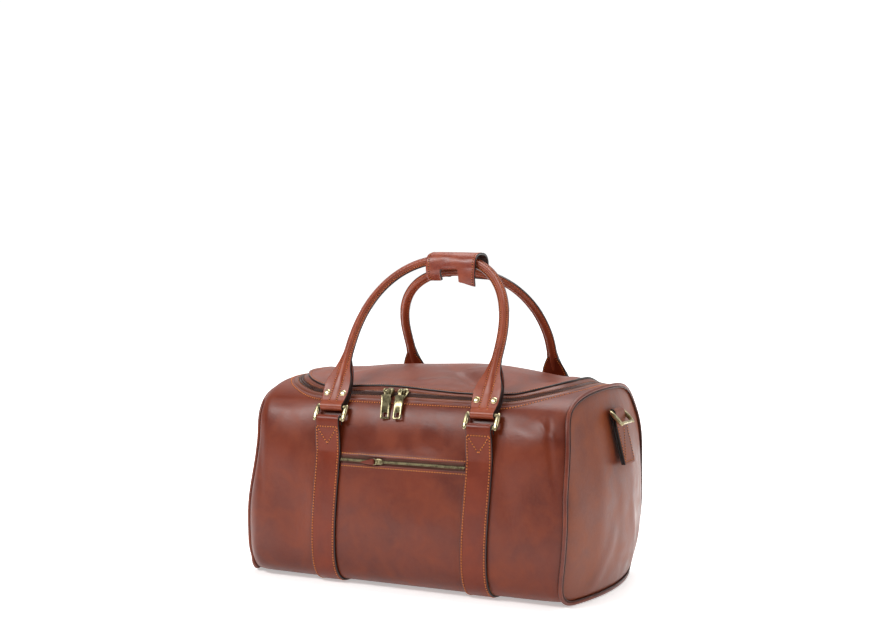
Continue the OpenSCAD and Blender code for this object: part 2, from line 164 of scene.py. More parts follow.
def bezier(four, t):
    """A cubic curve: its four points weighted by (1-t)^3, 3t(1-t)^2, 3t^2(1-t) and t^3."""
    a, b, c, d = (np.array(p, float) for p in four)
    t = t[:, None]
    return (1 - t) ** 3 * a + 3 * t * (1 - t) ** 2 * b + 3 * t * t * (1 - t) * c + t ** 3 * d


steps = np.linspace(0, 1, 61)
front_half = np.concatenate([[(0, 0)]] + [bezier(c, steps)[i:] for i, c in enumerate((
    [(-104, 0), (-132, 0), (-143, 14), (-147, 48)],
    [(-147, 48), (-151, 84), (-151.5, 120), (-149, 160)],
    [(-149, 160), (-146, 208), (-140, 242), (-122, 262)],
    [(-122, 262), (-100, 283), (-50, 288), (0, 288)])) for i in [min(i, 1)]])
front_half = front_half * [300 / 301.6, 284.5 / 288] + [0, 2.5]
gone = np.concatenate([[0], np.cumsum(np.linalg.norm(np.diff(front_half, axis=0), axis=1))])
arc_half = gone - body_half
crest = arc_half[-1]                 # arc length from the bottom's front corner to the middle of the top
section = np.concatenate([front_half, front_half[-2::-1] * [-1, 1]])
section_arc = np.concatenate([arc_half, 2 * crest - arc_half[-2::-1]])
slope = np.gradient(section, section_arc, axis=0)
slope[0] = slope[-1] = (-1, 0)
slope /= np.linalg.norm(slope, axis=1)[:, None]


def ring_point(s):
    """Height, depth and outward normal of the section at arc s: straight-line lookup along the closed outline."""
    y, z = (np.interp(s, section_arc, section[:, k]) for k in (0, 1))
    ty, tz = (np.interp(s, section_arc, slope[:, k]) for k in (0, 1))
    size = np.sqrt(ty ** 2 + tz ** 2)
    return y, z, -tz / size, ty / size


upper = (section_arc > 180) & (section_arc < 2 * crest - 180)


def arc_at(y):
    """Arc s of the top where it crosses depth y."""
    return np.interp(y, section[upper, 0], section_arc[upper])


def end_x(y, z, side):
    """Half length of the bag at a point of its outline: a crowned end, the left one drawn in at half height."""
    x = -126.5 + np.sqrt(404.0 ** 2 - y ** 2 - (z - 125) ** 2)
    left = 10 - 13 * np.exp(-((z - 178) / 68) ** 2) + 4 * rise(z, 200, 250) + 8 * np.exp(-((z - 15) / 45) ** 2)
    return x + np.where(side < 0, left, 9 * rise(z, 140, 235) - 1.5)


def hills(u, v, table):
    """Sum of smooth bumps: each is its depth times exp(-(a/long)^2 - (b/wide)^2) in its own turned axes."""
    total = np.zeros(np.broadcast(u, v).shape)
    for u0, v0, long, wide, turn, depth in table:
        c, k = math.cos(math.radians(turn)), math.sin(math.radians(turn))
        a, b = (u - u0) * c + (v - v0) * k, (v - v0) * c - (u - u0) * k
        total += depth * np.exp(-(a / long) ** 2 - (b / wide) ** 2)
    return total


def rise(v, low, high):
    """0 below low, 1 above high, smooth between: 3t^2 - 2t^3."""
    t = np.clip((v - low) / (high - low), 0, 1)
    return t * t * (3 - 2 * t)


pocket_arc = float(np.interp(181, front_half[:-60, 1], arc_half[:-60]))
# each dent or hill: x, arc, its two half sizes, its turn in degrees and its height
front_dents = [(-190, 222, 34, 52, 12, 4.0), (-165, 120, 22, 60, -12, -2.5), (-215, 86, 34, 46, 0, 4.0),
               (-232, 215, 6, 60, 4, -1.6), (196, 236, 30, 40, -25, 4.5), (163, 262, 9, 26, 62, -1.0),
               (176, 256, 8, 26, 70, 0.8),
               (186, 268, 9, 28, 66, -0.8), (224, 238, 5, 50, 10, -1.8), (216, 262, 5, 34, 38, 1.6),
               (200, 100, 40, 50, 0, 3.0),
               (165, 160, 16, 50, 12, -1.6), (-10, 224, 60, 15, 3, -2.2), (45, 232, 22, 12, -24, -1.4),
               (20, 112, 66, 46, 0, 3.5),
               (-62, 70, 34, 22, 14, -1.4), (62, 58, 44, 18, -6, 1.6), (-60, 228, 14, 26, 20, -1.2),
               (230, 60, 12, 40, 0, 2.0),
               (-240, 50, 16, 30, 0, 3.0)]
back_dents = [(x, 2 * crest - s + 6, long * 1.2, across, -turn, depth * 0.8)
              for x, s, long, across, turn, depth in front_dents[::2]]
back_dents += [(0, 2 * crest - 120, 80, 60, 0, 4.0), (0, 2 * crest - 235, 60, 20, 0, -2.0)]


def left_roll(s):
    """The left end is soft: its wall rolls in by up to 13 mm before the seam, but not underneath."""
    return 13.0 * rise(s, 0, 46) * rise(2 * crest - s, 0, 46)


def swell(x, s):
    """How far the leather stands off its pattern: pillows and dents away from the straps, a valley at each
    end seam that deepens as exp(-distance/8), nothing at the zip opening, and a sunk channel for the pocket zip."""
    y, z, ny, nz = ring_point(s)
    side = np.sign(x)
    seam = np.maximum(end_x(y, z, side) - np.abs(x), 0)
    loose = rise(np.abs(np.abs(x) - 118.5), 19, 36)
    walls = rise(s, 8, 60) * rise(2 * crest - s, 8, 60)
    edge = np.maximum(1 - rise(s, crest - 150, crest - 128) * rise(crest + 150 - s, 0, 22), 0)
    h = hills(x, s, front_dents) + hills(x, s, back_dents)
    h = h + 2.2 * np.cos(np.clip(x / 98, -1, 1) * math.pi / 2) * rise(s, 30, 120) * rise(250 - s, 0, 60)
    h = h * loose * walls * edge * rise(seam, 0, 24)
    h = h - 3.2 * np.exp(-seam / 6) - 1.2 * np.exp(-seam / 26) - 2.4 * np.exp(-((seam / 2.0) ** 2))
    rolled = np.clip(1 - seam / 22, 0, 1)
    h = h - np.where(side < 0, left_roll(s) * (1 - np.sqrt(np.clip(1 - rolled ** 2, 0, 1))), 0)
    across = np.abs(s - pocket_arc)
    lips = (1 - rise(across, 4.6, 5.6)) * 4.2 - 0.7 * np.exp(-((across - 6.6) / 1.5) ** 2)
    return h - lips * (1 - rise(np.abs(x - 5), 96, 100)) * (y < 0)


def skin(x, s, lift=0.0):
    """A point of the wall's outer face: the section point moved out by its swell and by lift."""
    x, s = np.broadcast_arrays(np.asarray(x, float), np.asarray(s, float))
    y, z, ny, nz = ring_point(s)
    h = swell(x, s) + lift
    return np.stack([x, y + h * ny, z + h * nz], -1)


def walked(points):
    """Distance gone along a line at each of its points."""
    return np.concatenate([[0], np.cumsum(np.linalg.norm(np.diff(points, axis=0), axis=1))])


def along(d, gone, table):
    """The columns of a table looked up at distances d, by straight lines between the distances gone."""
    return np.stack([np.interp(d, gone, column) for column in np.asarray(table).T], -1)


def unit(v):
    """Directions brought to length 1."""
    return v / np.linalg.norm(v, axis=1)[:, None]


def stacked(points):
    """Points, or a list of arrays of points, as one list of rows."""
    return np.concatenate([np.asarray(a, float).reshape(-1, 3) for a in (points if isinstance(points, list) else [points])])


def lattice(n, m, round_n=False, round_m=False, start=0):
    """Quads over an n by m grid of points, each point joined to its next both ways; a round way meets itself."""
    i = np.arange(n if round_n else n - 1)[:, None]
    j = np.arange(m if round_m else m - 1)[None, :]
    i2, j2 = (i + 1) % n, (j + 1) % m
    return np.stack([i * m + j, i2 * m + j, i2 * m + j2, i * m + j2], -1).reshape(-1, 4) + start


def capped(n, m):
    """The faces of a tube of n rings of m points, with one face over each end."""
    return [lattice(n, m, round_m=True), np.arange(m)[None, ::-1], (n - 1) * m + np.arange(m)[None, :]]


def piece(name, points, faces, finishes, body, stands_for=(), marks=None, slot="leather", sharp=50, wall=None,
          middle=bag_middle):
    """Makes a piece from points in mm. Its faces are turned outwards: the sum of each triangle's signed volume about
    middle has to be positive. wall gives a sheet its thickness inwards: the inside takes the second finish and the
    rim the last. A piece without a body is not attached to one."""
    p = stacked(points)
    faces = faces if isinstance(faces, list) else [faces]
    q = p - middle
    volume = sum(float(np.einsum("ij,ij->", q[f[:, 0]], np.cross(q[f[:, k]], q[f[:, k + 1]])))
                 for f in faces for k in range(1, f.shape[1] - 1))
    if volume < 0:
        faces = [f[:, ::-1] for f in faces]
    mesh = bpy.data.meshes.new(name)
    mesh.from_pydata((p * 0.001).tolist(), [], [q for f in faces for q in f.tolist()])
    for m in finishes:
        mesh.materials.append(m)
    if marks is not None:
        mesh.polygons.foreach_set("material_index", np.asarray(marks, np.int32))
    mesh.polygons.foreach_set("use_smooth", np.ones(len(mesh.polygons), bool))
    mesh.set_sharp_from_angle(angle=math.radians(sharp))
    o = bpy.data.objects.new(name, mesh)
    scene.collection.objects.link(o)
    if wall:
        solid = o.modifiers.new("wall", "SOLIDIFY")
        solid.thickness, solid.offset = wall * 0.001, -1
        solid.use_quality_normals = True
        if len(finishes) > 1:
            solid.material_offset_rim = len(finishes) - 1
        if len(finishes) > 2:
            solid.material_offset = 1
    if body:
        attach(o, body)
    if stands_for:
        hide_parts(*stands_for)
    return o


def pull_up_leather(name, middle, deep, warm, pale, cloud=100.0, gloss=0.4, grain=1.8, wax=0.15):
    """Waxed, drum-dyed leather. The wax moves where the hide is bent, so its brown clouds over some 50 mm and mottles
    over 15 mm and 4 mm, and its sheen changes with it. The pores are about 0.6 mm; they are drawn at 1.8 mm so that they show."""
    m, t, at = blank(name)
    big = add(t, "TexNoise", {"Scale": 1000 / cloud, "Detail": 3.0, "Roughness": 0.5, "Distortion": 0.4},
              {"Vector": at})
    mid = add(t, "TexNoise", {"Scale": 1000 / 34.0, "Detail": 3.0, "Roughness": 0.5, "Distortion": 0.6},
              {"Vector": at})
    small = add(t, "TexNoise", {"Scale": 1000 / 4.5, "Detail": 3.0}, {"Vector": at})
    pores = add(t, "TexVoronoi", {"Scale": 1000 / grain}, {"Vector": at})
    creases = add(t, "TexNoise", {"Scale": 1000 / 11.0, "Detail": 5.0, "Roughness": 0.62, "Distortion": 1.4},
                  {"Vector": at})
    clouds = add(t, "MapRange", {"From Min": 0.3, "From Max": 0.7}, {"Value": big.outputs["Fac"]})
    blots = add(t, "MapRange", {"From Min": 0.4, "From Max": 0.75, "To Max": 0.6}, {"Value": mid.outputs["Fac"]})
    specks = add(t, "MapRange", {"From Min": 0.3, "From Max": 0.7, "To Max": 0.16}, {"Value": small.outputs["Fac"]})
    c = add(t, "MixRGB", {"Color1": paint(deep), "Color2": paint(middle)}, {"Fac": clouds.outputs[0]})
    c = add(t, "MixRGB", {"Color2": paint(warm)}, {"Fac": blots.outputs[0], "Color1": c.outputs[0]})
    c = add(t, "MixRGB", {"Color2": paint(pale)}, {"Fac": specks.outputs[0], "Color1": c.outputs[0]})
    sheen = add(t, "MapRange", {"From Min": 0.3, "From Max": 0.7, "To Min": gloss - 0.07, "To Max": gloss + 0.09},
                {"Value": mid.outputs["Fac"]})
    fold = add(t, "Bump", {"Strength": 0.35, "Distance": 0.0006}, {"Height": creases.outputs["Fac"]})
    grainy = add(t, "Bump", {"Strength": 0.22, "Distance": 0.0002},
                 {"Height": pores.outputs["Distance"], "Normal": fold.outputs[0]})
    return finish_with(m, add(t, "BsdfPrincipled",
                              {"IOR": 1.5, "Specular IOR Level": 0.3, "Coat Weight": wax, "Coat Roughness": 0.36},
                              {"Base Color": c.outputs[0], "Roughness": sheen.outputs[0],
                               "Normal": grainy.outputs[0]}))


wall_leather = pull_up_leather("pull_up_wall_leather", "#69260f", "#50190b", "#7c310d", "#73351f")
# the bottom's leather: the wall's leather in darker tones, painted shade for the underside and for the grooves by the
# end seams
bottom_leather = pull_up_leather("pull_up_bottom_leather", "#3f1d14", "#2c130e", "#4c2416", "#47291f", gloss=0.5)

# flesh side of the hide: matt, felted, light brown
flesh_side = two_tone("leather_flesh_side", "#6e4a35", "#8a6248", 900.0, 0.95, bump=(0.4, 0.0003), detail=4.0)
# cut edges are sealed with black-brown edge paint, a half-gloss acrylic with a faintly wavy skin
edge_paint = two_tone("black_edge_paint", "#120d0c", "#241a17", 420.0, 0.38, bump=(0.25, 0.0003))

lid_half, lid_front, lid_round, hinge_y = 212.0, 96.0, 76.0, 98.0
opening = 22.0                       # how far the walls stand back from the lid's edge


def rim(q, g):
    """Plan of the lid's outline grown by g. q runs 0-1 up the left side, 1-2 round the left corner, 2-3 along
    the front, 3-4 round the right corner and 4-5 back along the right side; corners are quarter circles."""
    m, side = np.minimum(q, 5 - q), np.where(q > 2.5, 1.0, -1.0)
    turn = np.clip(m - 1, 0, 1) * math.pi / 2
    x = (lid_half - lid_round) + (lid_round + g) * np.cos(turn)
    x = np.where(m > 2, (lid_half - lid_round) * (1 - 2 * (m - 2)), x)
    y = np.where(m < 1, hinge_y + m * (lid_round - lid_front - hinge_y),
                 (lid_round - lid_front) - (lid_round + g) * np.sin(turn))
    return side * x, y


# the front wall fans out from the zip opening to the end seams and the bottom seam
q = np.concatenate([np.linspace(0, 1, 20)[:-1], np.linspace(1, 2, 66)[:-1], np.linspace(2, 3, 101)[:-1],
                    np.linspace(3, 4, 66)[:-1], np.linspace(4, 5, 20)])
hole_x, hole_y = rim(q, opening)
hole_s = arc_at(hole_y)
top_s = hole_s[len(q) // 2]
rows = np.unique(np.concatenate([np.linspace(0, pocket_arc - 9, 52),
                                 pocket_arc + np.array([-9, -8, -7, -6.2, -5.6, -5.3, -5, -4.6, -4, 0, 4, 4.6, 5, 5.3,
                                                        5.6, 6.2, 7, 8, 9]),
                                 np.linspace(pocket_arc + 9, top_s, 26)]))
v = ((top_s - rows) / top_s)[None, :]
turn_s = float(arc_at(lid_round - lid_front))
m = np.minimum(q, 5 - q)
down = np.clip((m - 1) / 0.72, 0, 1)
goal_s = np.where(m < 1, hole_s, turn_s * (1 - down))
goal_u = np.where(m < 1.72, 1.0, 1 + np.clip((m - 1.72) / 0.28, 0, 1) * ((lid_half - lid_round) / 244.0 - 1))
side = np.where(q > 2.5, 1.0, -1.0)
hole_u = np.abs(hole_x) / end_x(hole_y, ring_point(hole_s)[1], side)
goal_u = np.where(m > 2, hole_u, goal_u)
goal_s = np.where(m > 2, 0, goal_s)
u = (1 - v) * hole_u[:, None] + v * goal_u[:, None]
s = (1 - v) * hole_s[:, None] + v * goal_s[:, None]
s = np.where((m > 2)[:, None], rows[None, :], s)
yy, zz, _, _ = ring_point(s)
x = np.where((m > 2)[:, None], np.broadcast_to(hole_x[:, None], s.shape),
             side[:, None] * u * end_x(yy, zz, side[:, None]))
piece("wall_front", skin(x, s), lattice(*x.shape), [wall_leather, flesh_side, wall_leather], "bag", ["front_panel"],
      wall=2.2)

# the back wall starts behind the lid's fold and falls to the bottom seam
back_s = np.linspace(float(arc_at(hinge_y + 4)), 2 * crest, 72)
u = np.linspace(-1, 1, 111)
s, u = np.meshgrid(back_s, u, indexing="ij")
yy, zz, _, _ = ring_point(s)
x = u * end_x(yy, zz, np.sign(u))
piece("wall_back", skin(x, s), lattice(*x.shape), [wall_leather, flesh_side, edge_paint], "bag", ["back_panel"],
      wall=2.2)

s, u = np.meshgrid(np.linspace(-body_half, 0, 14), np.linspace(-1, 1, 61), indexing="ij")
yy, zz, _, _ = ring_point(s)
x = u * end_x(yy, zz, np.sign(u))
half = np.stack([x, yy, zz + 0 * x], -1)
both = np.concatenate([half[::-1], half[1:] * [1, -1, 1]])
piece("bottom_leather", both, lattice(*both.shape[:2]), [bottom_leather, flesh_side, edge_paint], "bag",
      ["bottom_panel"], slot="leather_dark", wall=2.2)

# ---------------------------------------------------------------- the end panels and their corded seams
# Each end is one crowned piece of the same leather. A cord wrapped in a strip of leather is sewn into the seam
# all round it, between the end and the walls.
end_leather = pull_up_leather("pull_up_end_leather", "#763820", "#622b1a", "#874320", "#804a34", cloud=120.0,
                              wax=0.05)
cord_leather = pull_up_leather("pull_up_cord_leather", "#70301e", "#57241a", "#873d20", "#80452f", cloud=60.0)
loop_s = np.linspace(-body_half, 2 * crest + body_half, 341)[:-1]


def end_face(side, share, s, lift=0.0):
    """The end panel: its outline drawn towards the middle by share, out on a sphere, less a valley by the seam
    of exp(-distance/7) and with soft upright folds."""
    y, z, ny, nz = ring_point(s)
    mid_y, mid_z = 0.0, 142.0
    in_ = 2.4 + (left_roll(s) if side < 0 else 0.0)
    py, pz = mid_y + share * (y - in_ * ny - mid_y), mid_z + share * (z - in_ * nz - mid_z)
    reach = np.sqrt((y - mid_y) ** 2 + (z - mid_z) ** 2)
    crown = -124 + np.sqrt(404.0 ** 2 - py ** 2 - (pz - 125) ** 2)
    left = 13 * np.exp(-((pz - 178) / 68) ** 2) * share ** 3 - (10 + 4 * rise(pz, 200, 250) + 8 * np.exp(-((pz - 15) / 45) ** 2)) * share ** 7
    drawn = np.where(side < 0, left, 2.5 - (9 * rise(pz, 140, 235) + 1.0) * share ** 8)
    folds = hills(py, pz, [(-70, 130, 110, 16, 88, 1.3), (-20, 90, 90, 14, 97, -1.0), (40, 120, 120, 16, 92, 1.2),
                           (90, 110, 90, 14, 86, -1.1),
                           (70, 50, 60, 12, 120, 2.6), (-60, 40, 60, 14, 60, 2.2), (110, 60, 24, 40, 0, 2.5),
                           (0, 215, 50, 30, 0, -1.6)])
    valley = 3.6 * np.exp(-(1 - share) * reach / 7)
    x = crown - drawn + folds * (1 - share ** 6) - valley + lift
    return np.stack([side * x, py + 0 * x, pz + 0 * x], -1)


shares = np.concatenate([[0.0], 1 - np.linspace(1, 0, 42)[1:] ** 1.5])
k = np.arange(len(loop_s))
fan = np.stack([0 * k, 1 + k, 1 + (k + 1) % len(k)], -1)
end_faces = [lattice(len(shares) - 1, len(loop_s), round_m=True, start=1), fan]
for side, end in ((-1, "left"), (1, "right")):
    g, s = np.meshgrid(shares[1:], loop_s, indexing="ij")
    face = end_face(side, g, s)
    centre = end_face(side, 0.0, np.array([0.0]))
    piece("end_" + end, [centre, face], end_faces,
          [end_leather, flesh_side, edge_paint], "bag", ["end_panel_" + end], wall=2.2)


def tube(path, radius, sides=10, closed=False, facing=(1.0, 0.0, 0.0), flat=1.0):
    """A round bar along a path: circles in the plane across it, squashed by flat along facing; ends are domed shut."""
    path = np.asarray(path, float)
    r = np.broadcast_to(np.asarray(radius, float), len(path))
    if closed:
        way = np.roll(path, -1, 0) - np.roll(path, 1, 0)
    else:
        way = np.gradient(path, axis=0)
        first, last = path[0] - way[0] / np.linalg.norm(way[0]) * r[0] * 0.5, path[-1] + way[-1] / np.linalg.norm(way[-1]) * r[-1] * 0.5
        path, way = np.vstack([first, path, last]), np.vstack([way[0], way, way[-1]])
        r = np.concatenate([[r[0] * 0.55], r, [r[-1] * 0.55]])
    way = unit(way)
    across = unit(np.cross(way, np.broadcast_to(np.asarray(facing, float), way.shape)))
    up = np.cross(across, way)
    a = np.arange(sides) * 2 * math.pi / sides
    rings = path[:, None] + r[:, None, None] * (np.cos(a)[None, :, None] * across[:, None] + flat * np.sin(a)[None, :, None] * up[:, None])
    faces = [lattice(len(path), sides, closed, True)]
    points = [rings]
    if not closed:
        n = len(path) * sides
        k = np.arange(sides)
        faces.append(np.stack([np.full(sides, n), (k + 1) % sides, k], -1))
        faces.append(np.stack([np.full(sides, n + 1), n - sides + k, n - sides + (k + 1) % sides], -1))
        points += [first - way[0] * r[1] * 0.2, last + way[-1] * r[-2] * 0.2]
    return points, faces


def joined(parts):
    """Several shapes as one: their points in a row and their faces counted on."""
    points, faces, n = [], [], 0
    for p, f in parts:
        p = stacked(p)
        points.append(p)
        faces += [a + n for a in (f if isinstance(f, list) else [f])]
        n += len(p)
    return points, faces


for side, end in ((-1, "left"), (1, "right")):
    y, z, ny, nz = ring_point(loop_s)
    x = end_x(y, z, side) + 1.2
    out = -0.6 - (left_roll(loop_s) if side < 0 else 0.0)
    path = np.stack([side * x, y + out * ny, np.maximum(z + out * nz, 2.9)], -1)
    points, faces = tube(path, 2.7, 14, True)
    piece("cord_" + end, points, faces, [cord_leather], "bag", ["piping_" + end], slot="leather_dark")
    # two dark tubes on both sides of the cord: painted shade for the shadowed grooves beside it
    beside = [tube(np.stack([side * (x + dx), y + (out + dh) * ny, np.maximum(z + (out + dh) * nz, 2.0)], -1), 1.1, 8,
                   True)
              for dx, dh in ((-3.3, -1.9), (2.3, -3.0))]
    piece("seam_edges_" + end, *joined(beside), [bottom_leather], "bag", slot="leather_dark")

# ---------------------------------------------------------------- the lid, its fold, and its lining
# A wide flap of the wall leather with a painted edge, 3 mm thick. It turns on a fold of thinner leather along
# its rear edge, and its underside is lined with cloth.
lid_dents = [(-75, 22, 150, 64, 0, 16.0), (75, 24, 120, 66, 0, 13.0), (58, -40, 50, 17, -34, -7.5),
             (10, -62, 38, 10, 22, 2.6), (-78, -34, 62, 30, 8, 4.0), (118, -22, 40, 26, -18, 4.0),
             (92, -66, 26, 8, -30, -2.6), (-18, 20, 84, 24, 2, -3.5), (-150, -6, 34, 44, 0, -3.0),
             (66, 52, 78, 24, 12, 3.0),
             (166, 6, 20, 44, 8, -2.5), (30, -20, 36, 7, 30, 1.6), (42, -76, 30, 6, -4, -1.4),
             (-40, -84, 30, 6, 4, 0.9)]


def lid_edge_wave(x, y):
    """How far the lid's edge stands up: most behind the sliders and at both ends, least at the hinge."""
    front = 2.0 + 5.0 * np.exp(-((x + 45) / 62) ** 2) - 1.4 * np.exp(-((x - 80) / 42) ** 2) + 6.0 * rise(np.abs(x),
                                                                                                         140, 212)
    return front * rise(hinge_y - 8 - y, 0, 70)


def top_at(x, y, lift=0.0, soft=0.0):
    """A point of the bag's top over plan point x, y: the section's height there plus lift along its normal and soft straight up."""
    _, z, ny, nz = ring_point(arc_at(y))
    return np.stack([x + 0 * z, y + lift * ny, z + lift * nz + soft], -1)


ahead = np.linspace(0, 1, 26)
lid_y = np.concatenate([(lid_round - lid_front) - lid_round * np.cos(ahead * math.pi / 2),
                        np.linspace(lid_round - lid_front, hinge_y - 6, 44)[1:]])
reach = np.where(lid_y < lid_round - lid_front,
                 lid_half - lid_round + lid_round * np.sqrt(np.clip(1 - ((lid_round - lid_front - lid_y) / lid_round) ** 2, 0, 1)), lid_half)
y, u = np.meshgrid(lid_y, np.sin(np.linspace(-1, 1, 141) * math.pi / 2 * 0.82) / math.sin(math.pi / 2 * 0.82),
                   indexing="ij")
x = u * reach[:, None]
inside = np.minimum((y + lid_front), (lid_half - np.abs(x)))
corner = np.hypot(np.maximum(np.abs(x) - (lid_half - lid_round), 0), np.maximum(lid_round - lid_front - y, 0))
inside = np.minimum(inside, lid_round - corner)
keep = rise(inside, 0, 26) * rise(hinge_y - 8 - y, 0, 30)
soft = hills(x, y, lid_dents) * keep + lid_edge_wave(x, y) * np.exp(-inside / 18)
lid_points = top_at(x, y, 1.5, soft)
lid_leather = pull_up_leather("pull_up_lid_leather", "#76331f", "#5f281b", "#873d1e", "#85482f", cloud=90.0)
piece("lid_leather", lid_points, lattice(*x.shape), [lid_leather, flesh_side, edge_paint], "lid", ["lid_panel"],
      wall=2.8)

# cloth: a dark brown cotton twill, threads 0.5 mm apart drawn at 1.2 mm, matt
twill, t, at = blank("brown_cotton_twill")
rib = add(t, "TexWave", {"Scale": 1000 / 1.2 / 6.283, "Distortion": 0.4}, {"Vector": at}, bands_direction="DIAGONAL")
fuzz = add(t, "TexNoise", {"Scale": 120.0, "Detail": 4.0}, {"Vector": at})
c = add(t, "MixRGB", {"Color1": paint("#2c211c"), "Color2": paint("#43342b")}, {"Fac": rib.outputs["Fac"]})
c = add(t, "MixRGB", {"Color2": paint("#35281f")}, {"Fac": fuzz.outputs["Fac"], "Color1": c.outputs[0]})
b = add(t, "Bump", {"Strength": 0.5, "Distance": 0.0003}, {"Height": rib.outputs["Fac"]})
finish_with(twill, add(t, "BsdfPrincipled", {"Roughness": 0.92, "Sheen Weight": 0.15},
                       {"Base Color": c.outputs[0], "Normal": b.outputs[0]}))
piece("lid_cloth", top_at(x * 0.988, (y - 20) * 0.985 + 20, -1.7, soft * 0.8), lattice(*x.shape), [twill], "lid",
      ["lid_lining"], slot="cloth", wall=0.8)

u, y = np.meshgrid(np.linspace(-1, 1, 81), np.linspace(hinge_y - 7.5, hinge_y + 8, 15), indexing="ij")
fold_points = top_at(u * 210, y, 0.5 + 0.8 * np.exp(-((y - hinge_y) / 3) ** 2))
fold_piece = piece("lid_fold", fold_points, lattice(81, 15), [lid_leather, flesh_side, edge_paint], None,
                   ["lid_hinge_fold"], slot="leather_dark", wall=1.4)
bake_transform(fold_piece)

# ---------------------------------------------------------------- the main zip
# A number 8 coil zip on strips of thin leather: one strip is sewn under the lid's edge and one to the wall.
# Each half of the chain is a nylon spiral, 1.6 mm a turn, sewn to its strip with fine stitches.
strip_leather = pull_up_leather("pull_up_zip_strip_leather", "#6c3220", "#54261a", "#7e3f26", "#74412e", cloud=60.0,
                                gloss=0.36)
coil_nylon = two_tone("dark_zip_nylon", "#38201a", "#5e3628", 700.0, 0.35, ior=1.53)
around = np.concatenate([np.linspace(0, 1, 40)[:-1], np.linspace(1, 2, 70)[:-1], np.linspace(2, 3, 110)[:-1],
                         np.linspace(3, 4, 70)[:-1], np.linspace(4, 5, 40)])


def on_band(q, g, lift):
    """A point of the zip's band: the lid's outline grown by g in plan, lifted off the bag's top along its normal."""
    x, y = rim(q, g)
    return top_at(x, y, lift, lid_edge_wave(x, y) * np.exp(-np.maximum(g, 0) / 8))


for name, body, low, high, node, shape in (
        ("zip_strip_lid", "lid", -1.5, 8.2, "zip_gusset_lid",
         lambda f: -1.6 + 1.7 * np.sin(np.clip(f * 1.1 - 0.1, 0, 1) * math.pi) ** 0.8),
        ("zip_strip_wall", "bag", 13.8, 23.5, "zip_gusset_body",
         lambda f: -1.4 + 1.3 * np.sin(np.clip(f * 1.15, 0, 1) * math.pi) ** 0.8 - 1.2 * rise(f, 0.8, 1.0))):
    g, a = np.meshgrid(np.linspace(low, high, 12), around, indexing="ij")
    points = on_band(a, g, shape((g - low) / (high - low)))
    piece(name, points, lattice(*g.shape), [strip_leather, flesh_side, edge_paint], body, [node], slot="leather_dark",
          wall=1.0)

fine = np.linspace(0.02, 4.98, 4000)
xy = np.stack(rim(fine, 9.6), -1)
length = walked(xy)
even = np.interp(np.arange(0, length[-1], 0.2), length, fine)
phase = np.arange(len(even)) * 0.2 / 1.6 * 2 * math.pi
for name, body, g0, node in (("zip_coil_lid", "lid", 9.5, "zip_coil_lid"),
                             ("zip_coil_wall", "bag", 12.6, "zip_coil_body")):
    path = on_band(even, g0 + 1.3 * np.cos(phase), -0.9 + 0.75 * np.sin(phase))
    points, faces = tube(path, 0.42, 5, facing=(0.0, -0.3, 1.0))
    tape, a = np.meshgrid(np.linspace(g0 - 1.6, g0 + 1.6, 4), around, indexing="ij")
    points, faces = joined([(points, faces), (on_band(a, tape, -2.0 + 0 * a), lattice(*a.shape))])
    piece(name + "_spiral", points, faces, [coil_nylon], body, [node], slot="cloth")

# ---------------------------------------------------------------- the stitching of the walls
# Bonded orange thread, 4 mm to a stitch. It is 0.9 mm thick and is drawn at 1.45 mm, so that it shows. Every stitch
# dips into its needle holes and slants a little.
thread = two_tone("waxed_orange_thread", "#c2601e", "#e08a3c", 1400.0, 0.55, bump=(0.4, 0.0002))
# a needle hole is drawn as a flat dark mark: painted shade for the hole in the hide
needle_hole = two_tone("needle_hole", "#1f0d09", "#34170f", 500.0, 0.9)


def stitches(path, up, pitch=4.0, thick=1.45):
    """A row of stitches: one small spindle each pitch along the path, 0.72 of a pitch long, lying on the surface whose
    outward normals are up, with its tips sunk; and a flat dark six-sided mark at each start, painted shade for its
    needle hole."""
    path, up = np.asarray(path, float), np.asarray(up, float)
    gone = walked(path)
    n = max(int(gone[-1] / pitch), 1)
    at = (np.arange(n) + 0.5) * gone[-1] / n
    c = along(at, gone, path)
    way = unit(along(at + pitch * 0.4, gone, path) - along(at - pitch * 0.4, gone, path))
    over = along(at, gone, up)
    over = unit(over - (over * way).sum(1)[:, None] * way)
    across = np.cross(over, way)
    way = way + 0.12 * across
    half = pitch * 0.35
    a = np.array([-0.8, 0.0, 0.8])
    wide = np.array([0.62, 1.0, 0.62])
    turn = np.arange(6) * math.pi / 3
    ring = [(a[i] * half, wide[i] * thick * 0.5 * math.cos(w),
             wide[i] * thick * 0.42 * math.sin(w) + 0.16 - 0.3 * a[i] ** 2)
            for i in range(3) for w in turn]
    hole_rim = [(-pitch / 2 + 0.85 * math.cos(w), 1.05 * math.sin(w), 0.06) for w in turn]
    shape = np.array([(-half, 0, -0.25)] + ring + [(half, 0, -0.25)] + hole_rim)[None]
    points = c[:, None] + shape[..., 0:1] * way[:, None] + shape[..., 1:2] * across[:, None] + shape[..., 2:3] * over[:, None]
    k = np.arange(6)
    k2 = (k + 1) % 6
    tips = np.concatenate([np.stack([0 * k, 1 + k2, 1 + k], -1), np.stack([0 * k + 19, 13 + k, 13 + k2], -1)])
    body = np.concatenate([np.stack([1 + k + r, 1 + k2 + r, 7 + k2 + r, 7 + k + r], -1) for r in (0, 6)])
    jump = (np.arange(n) * 26)[:, None, None]
    hole = np.arange(20, 26)[None, :]
    faces = [(f[None] + jump).reshape(-1, f.shape[1]) for f in (tips, body, hole)]
    return points, faces, [0] * 24 * n + [1] * n


def sewn(name, rows, body, pitch=4.0, thick=1.45):
    """One piece of stitching from several rows of (path, normals)."""
    made = [stitches(p, u, pitch, thick) for p, u in rows]
    points, faces = joined([(p, f) for p, f, _ in made])
    marks = np.concatenate([c for _, _, c in made])
    piece(name, points, faces, [thread, needle_hole], body, marks=marks, slot="leather", middle=np.array([0, 0, 0.0]))


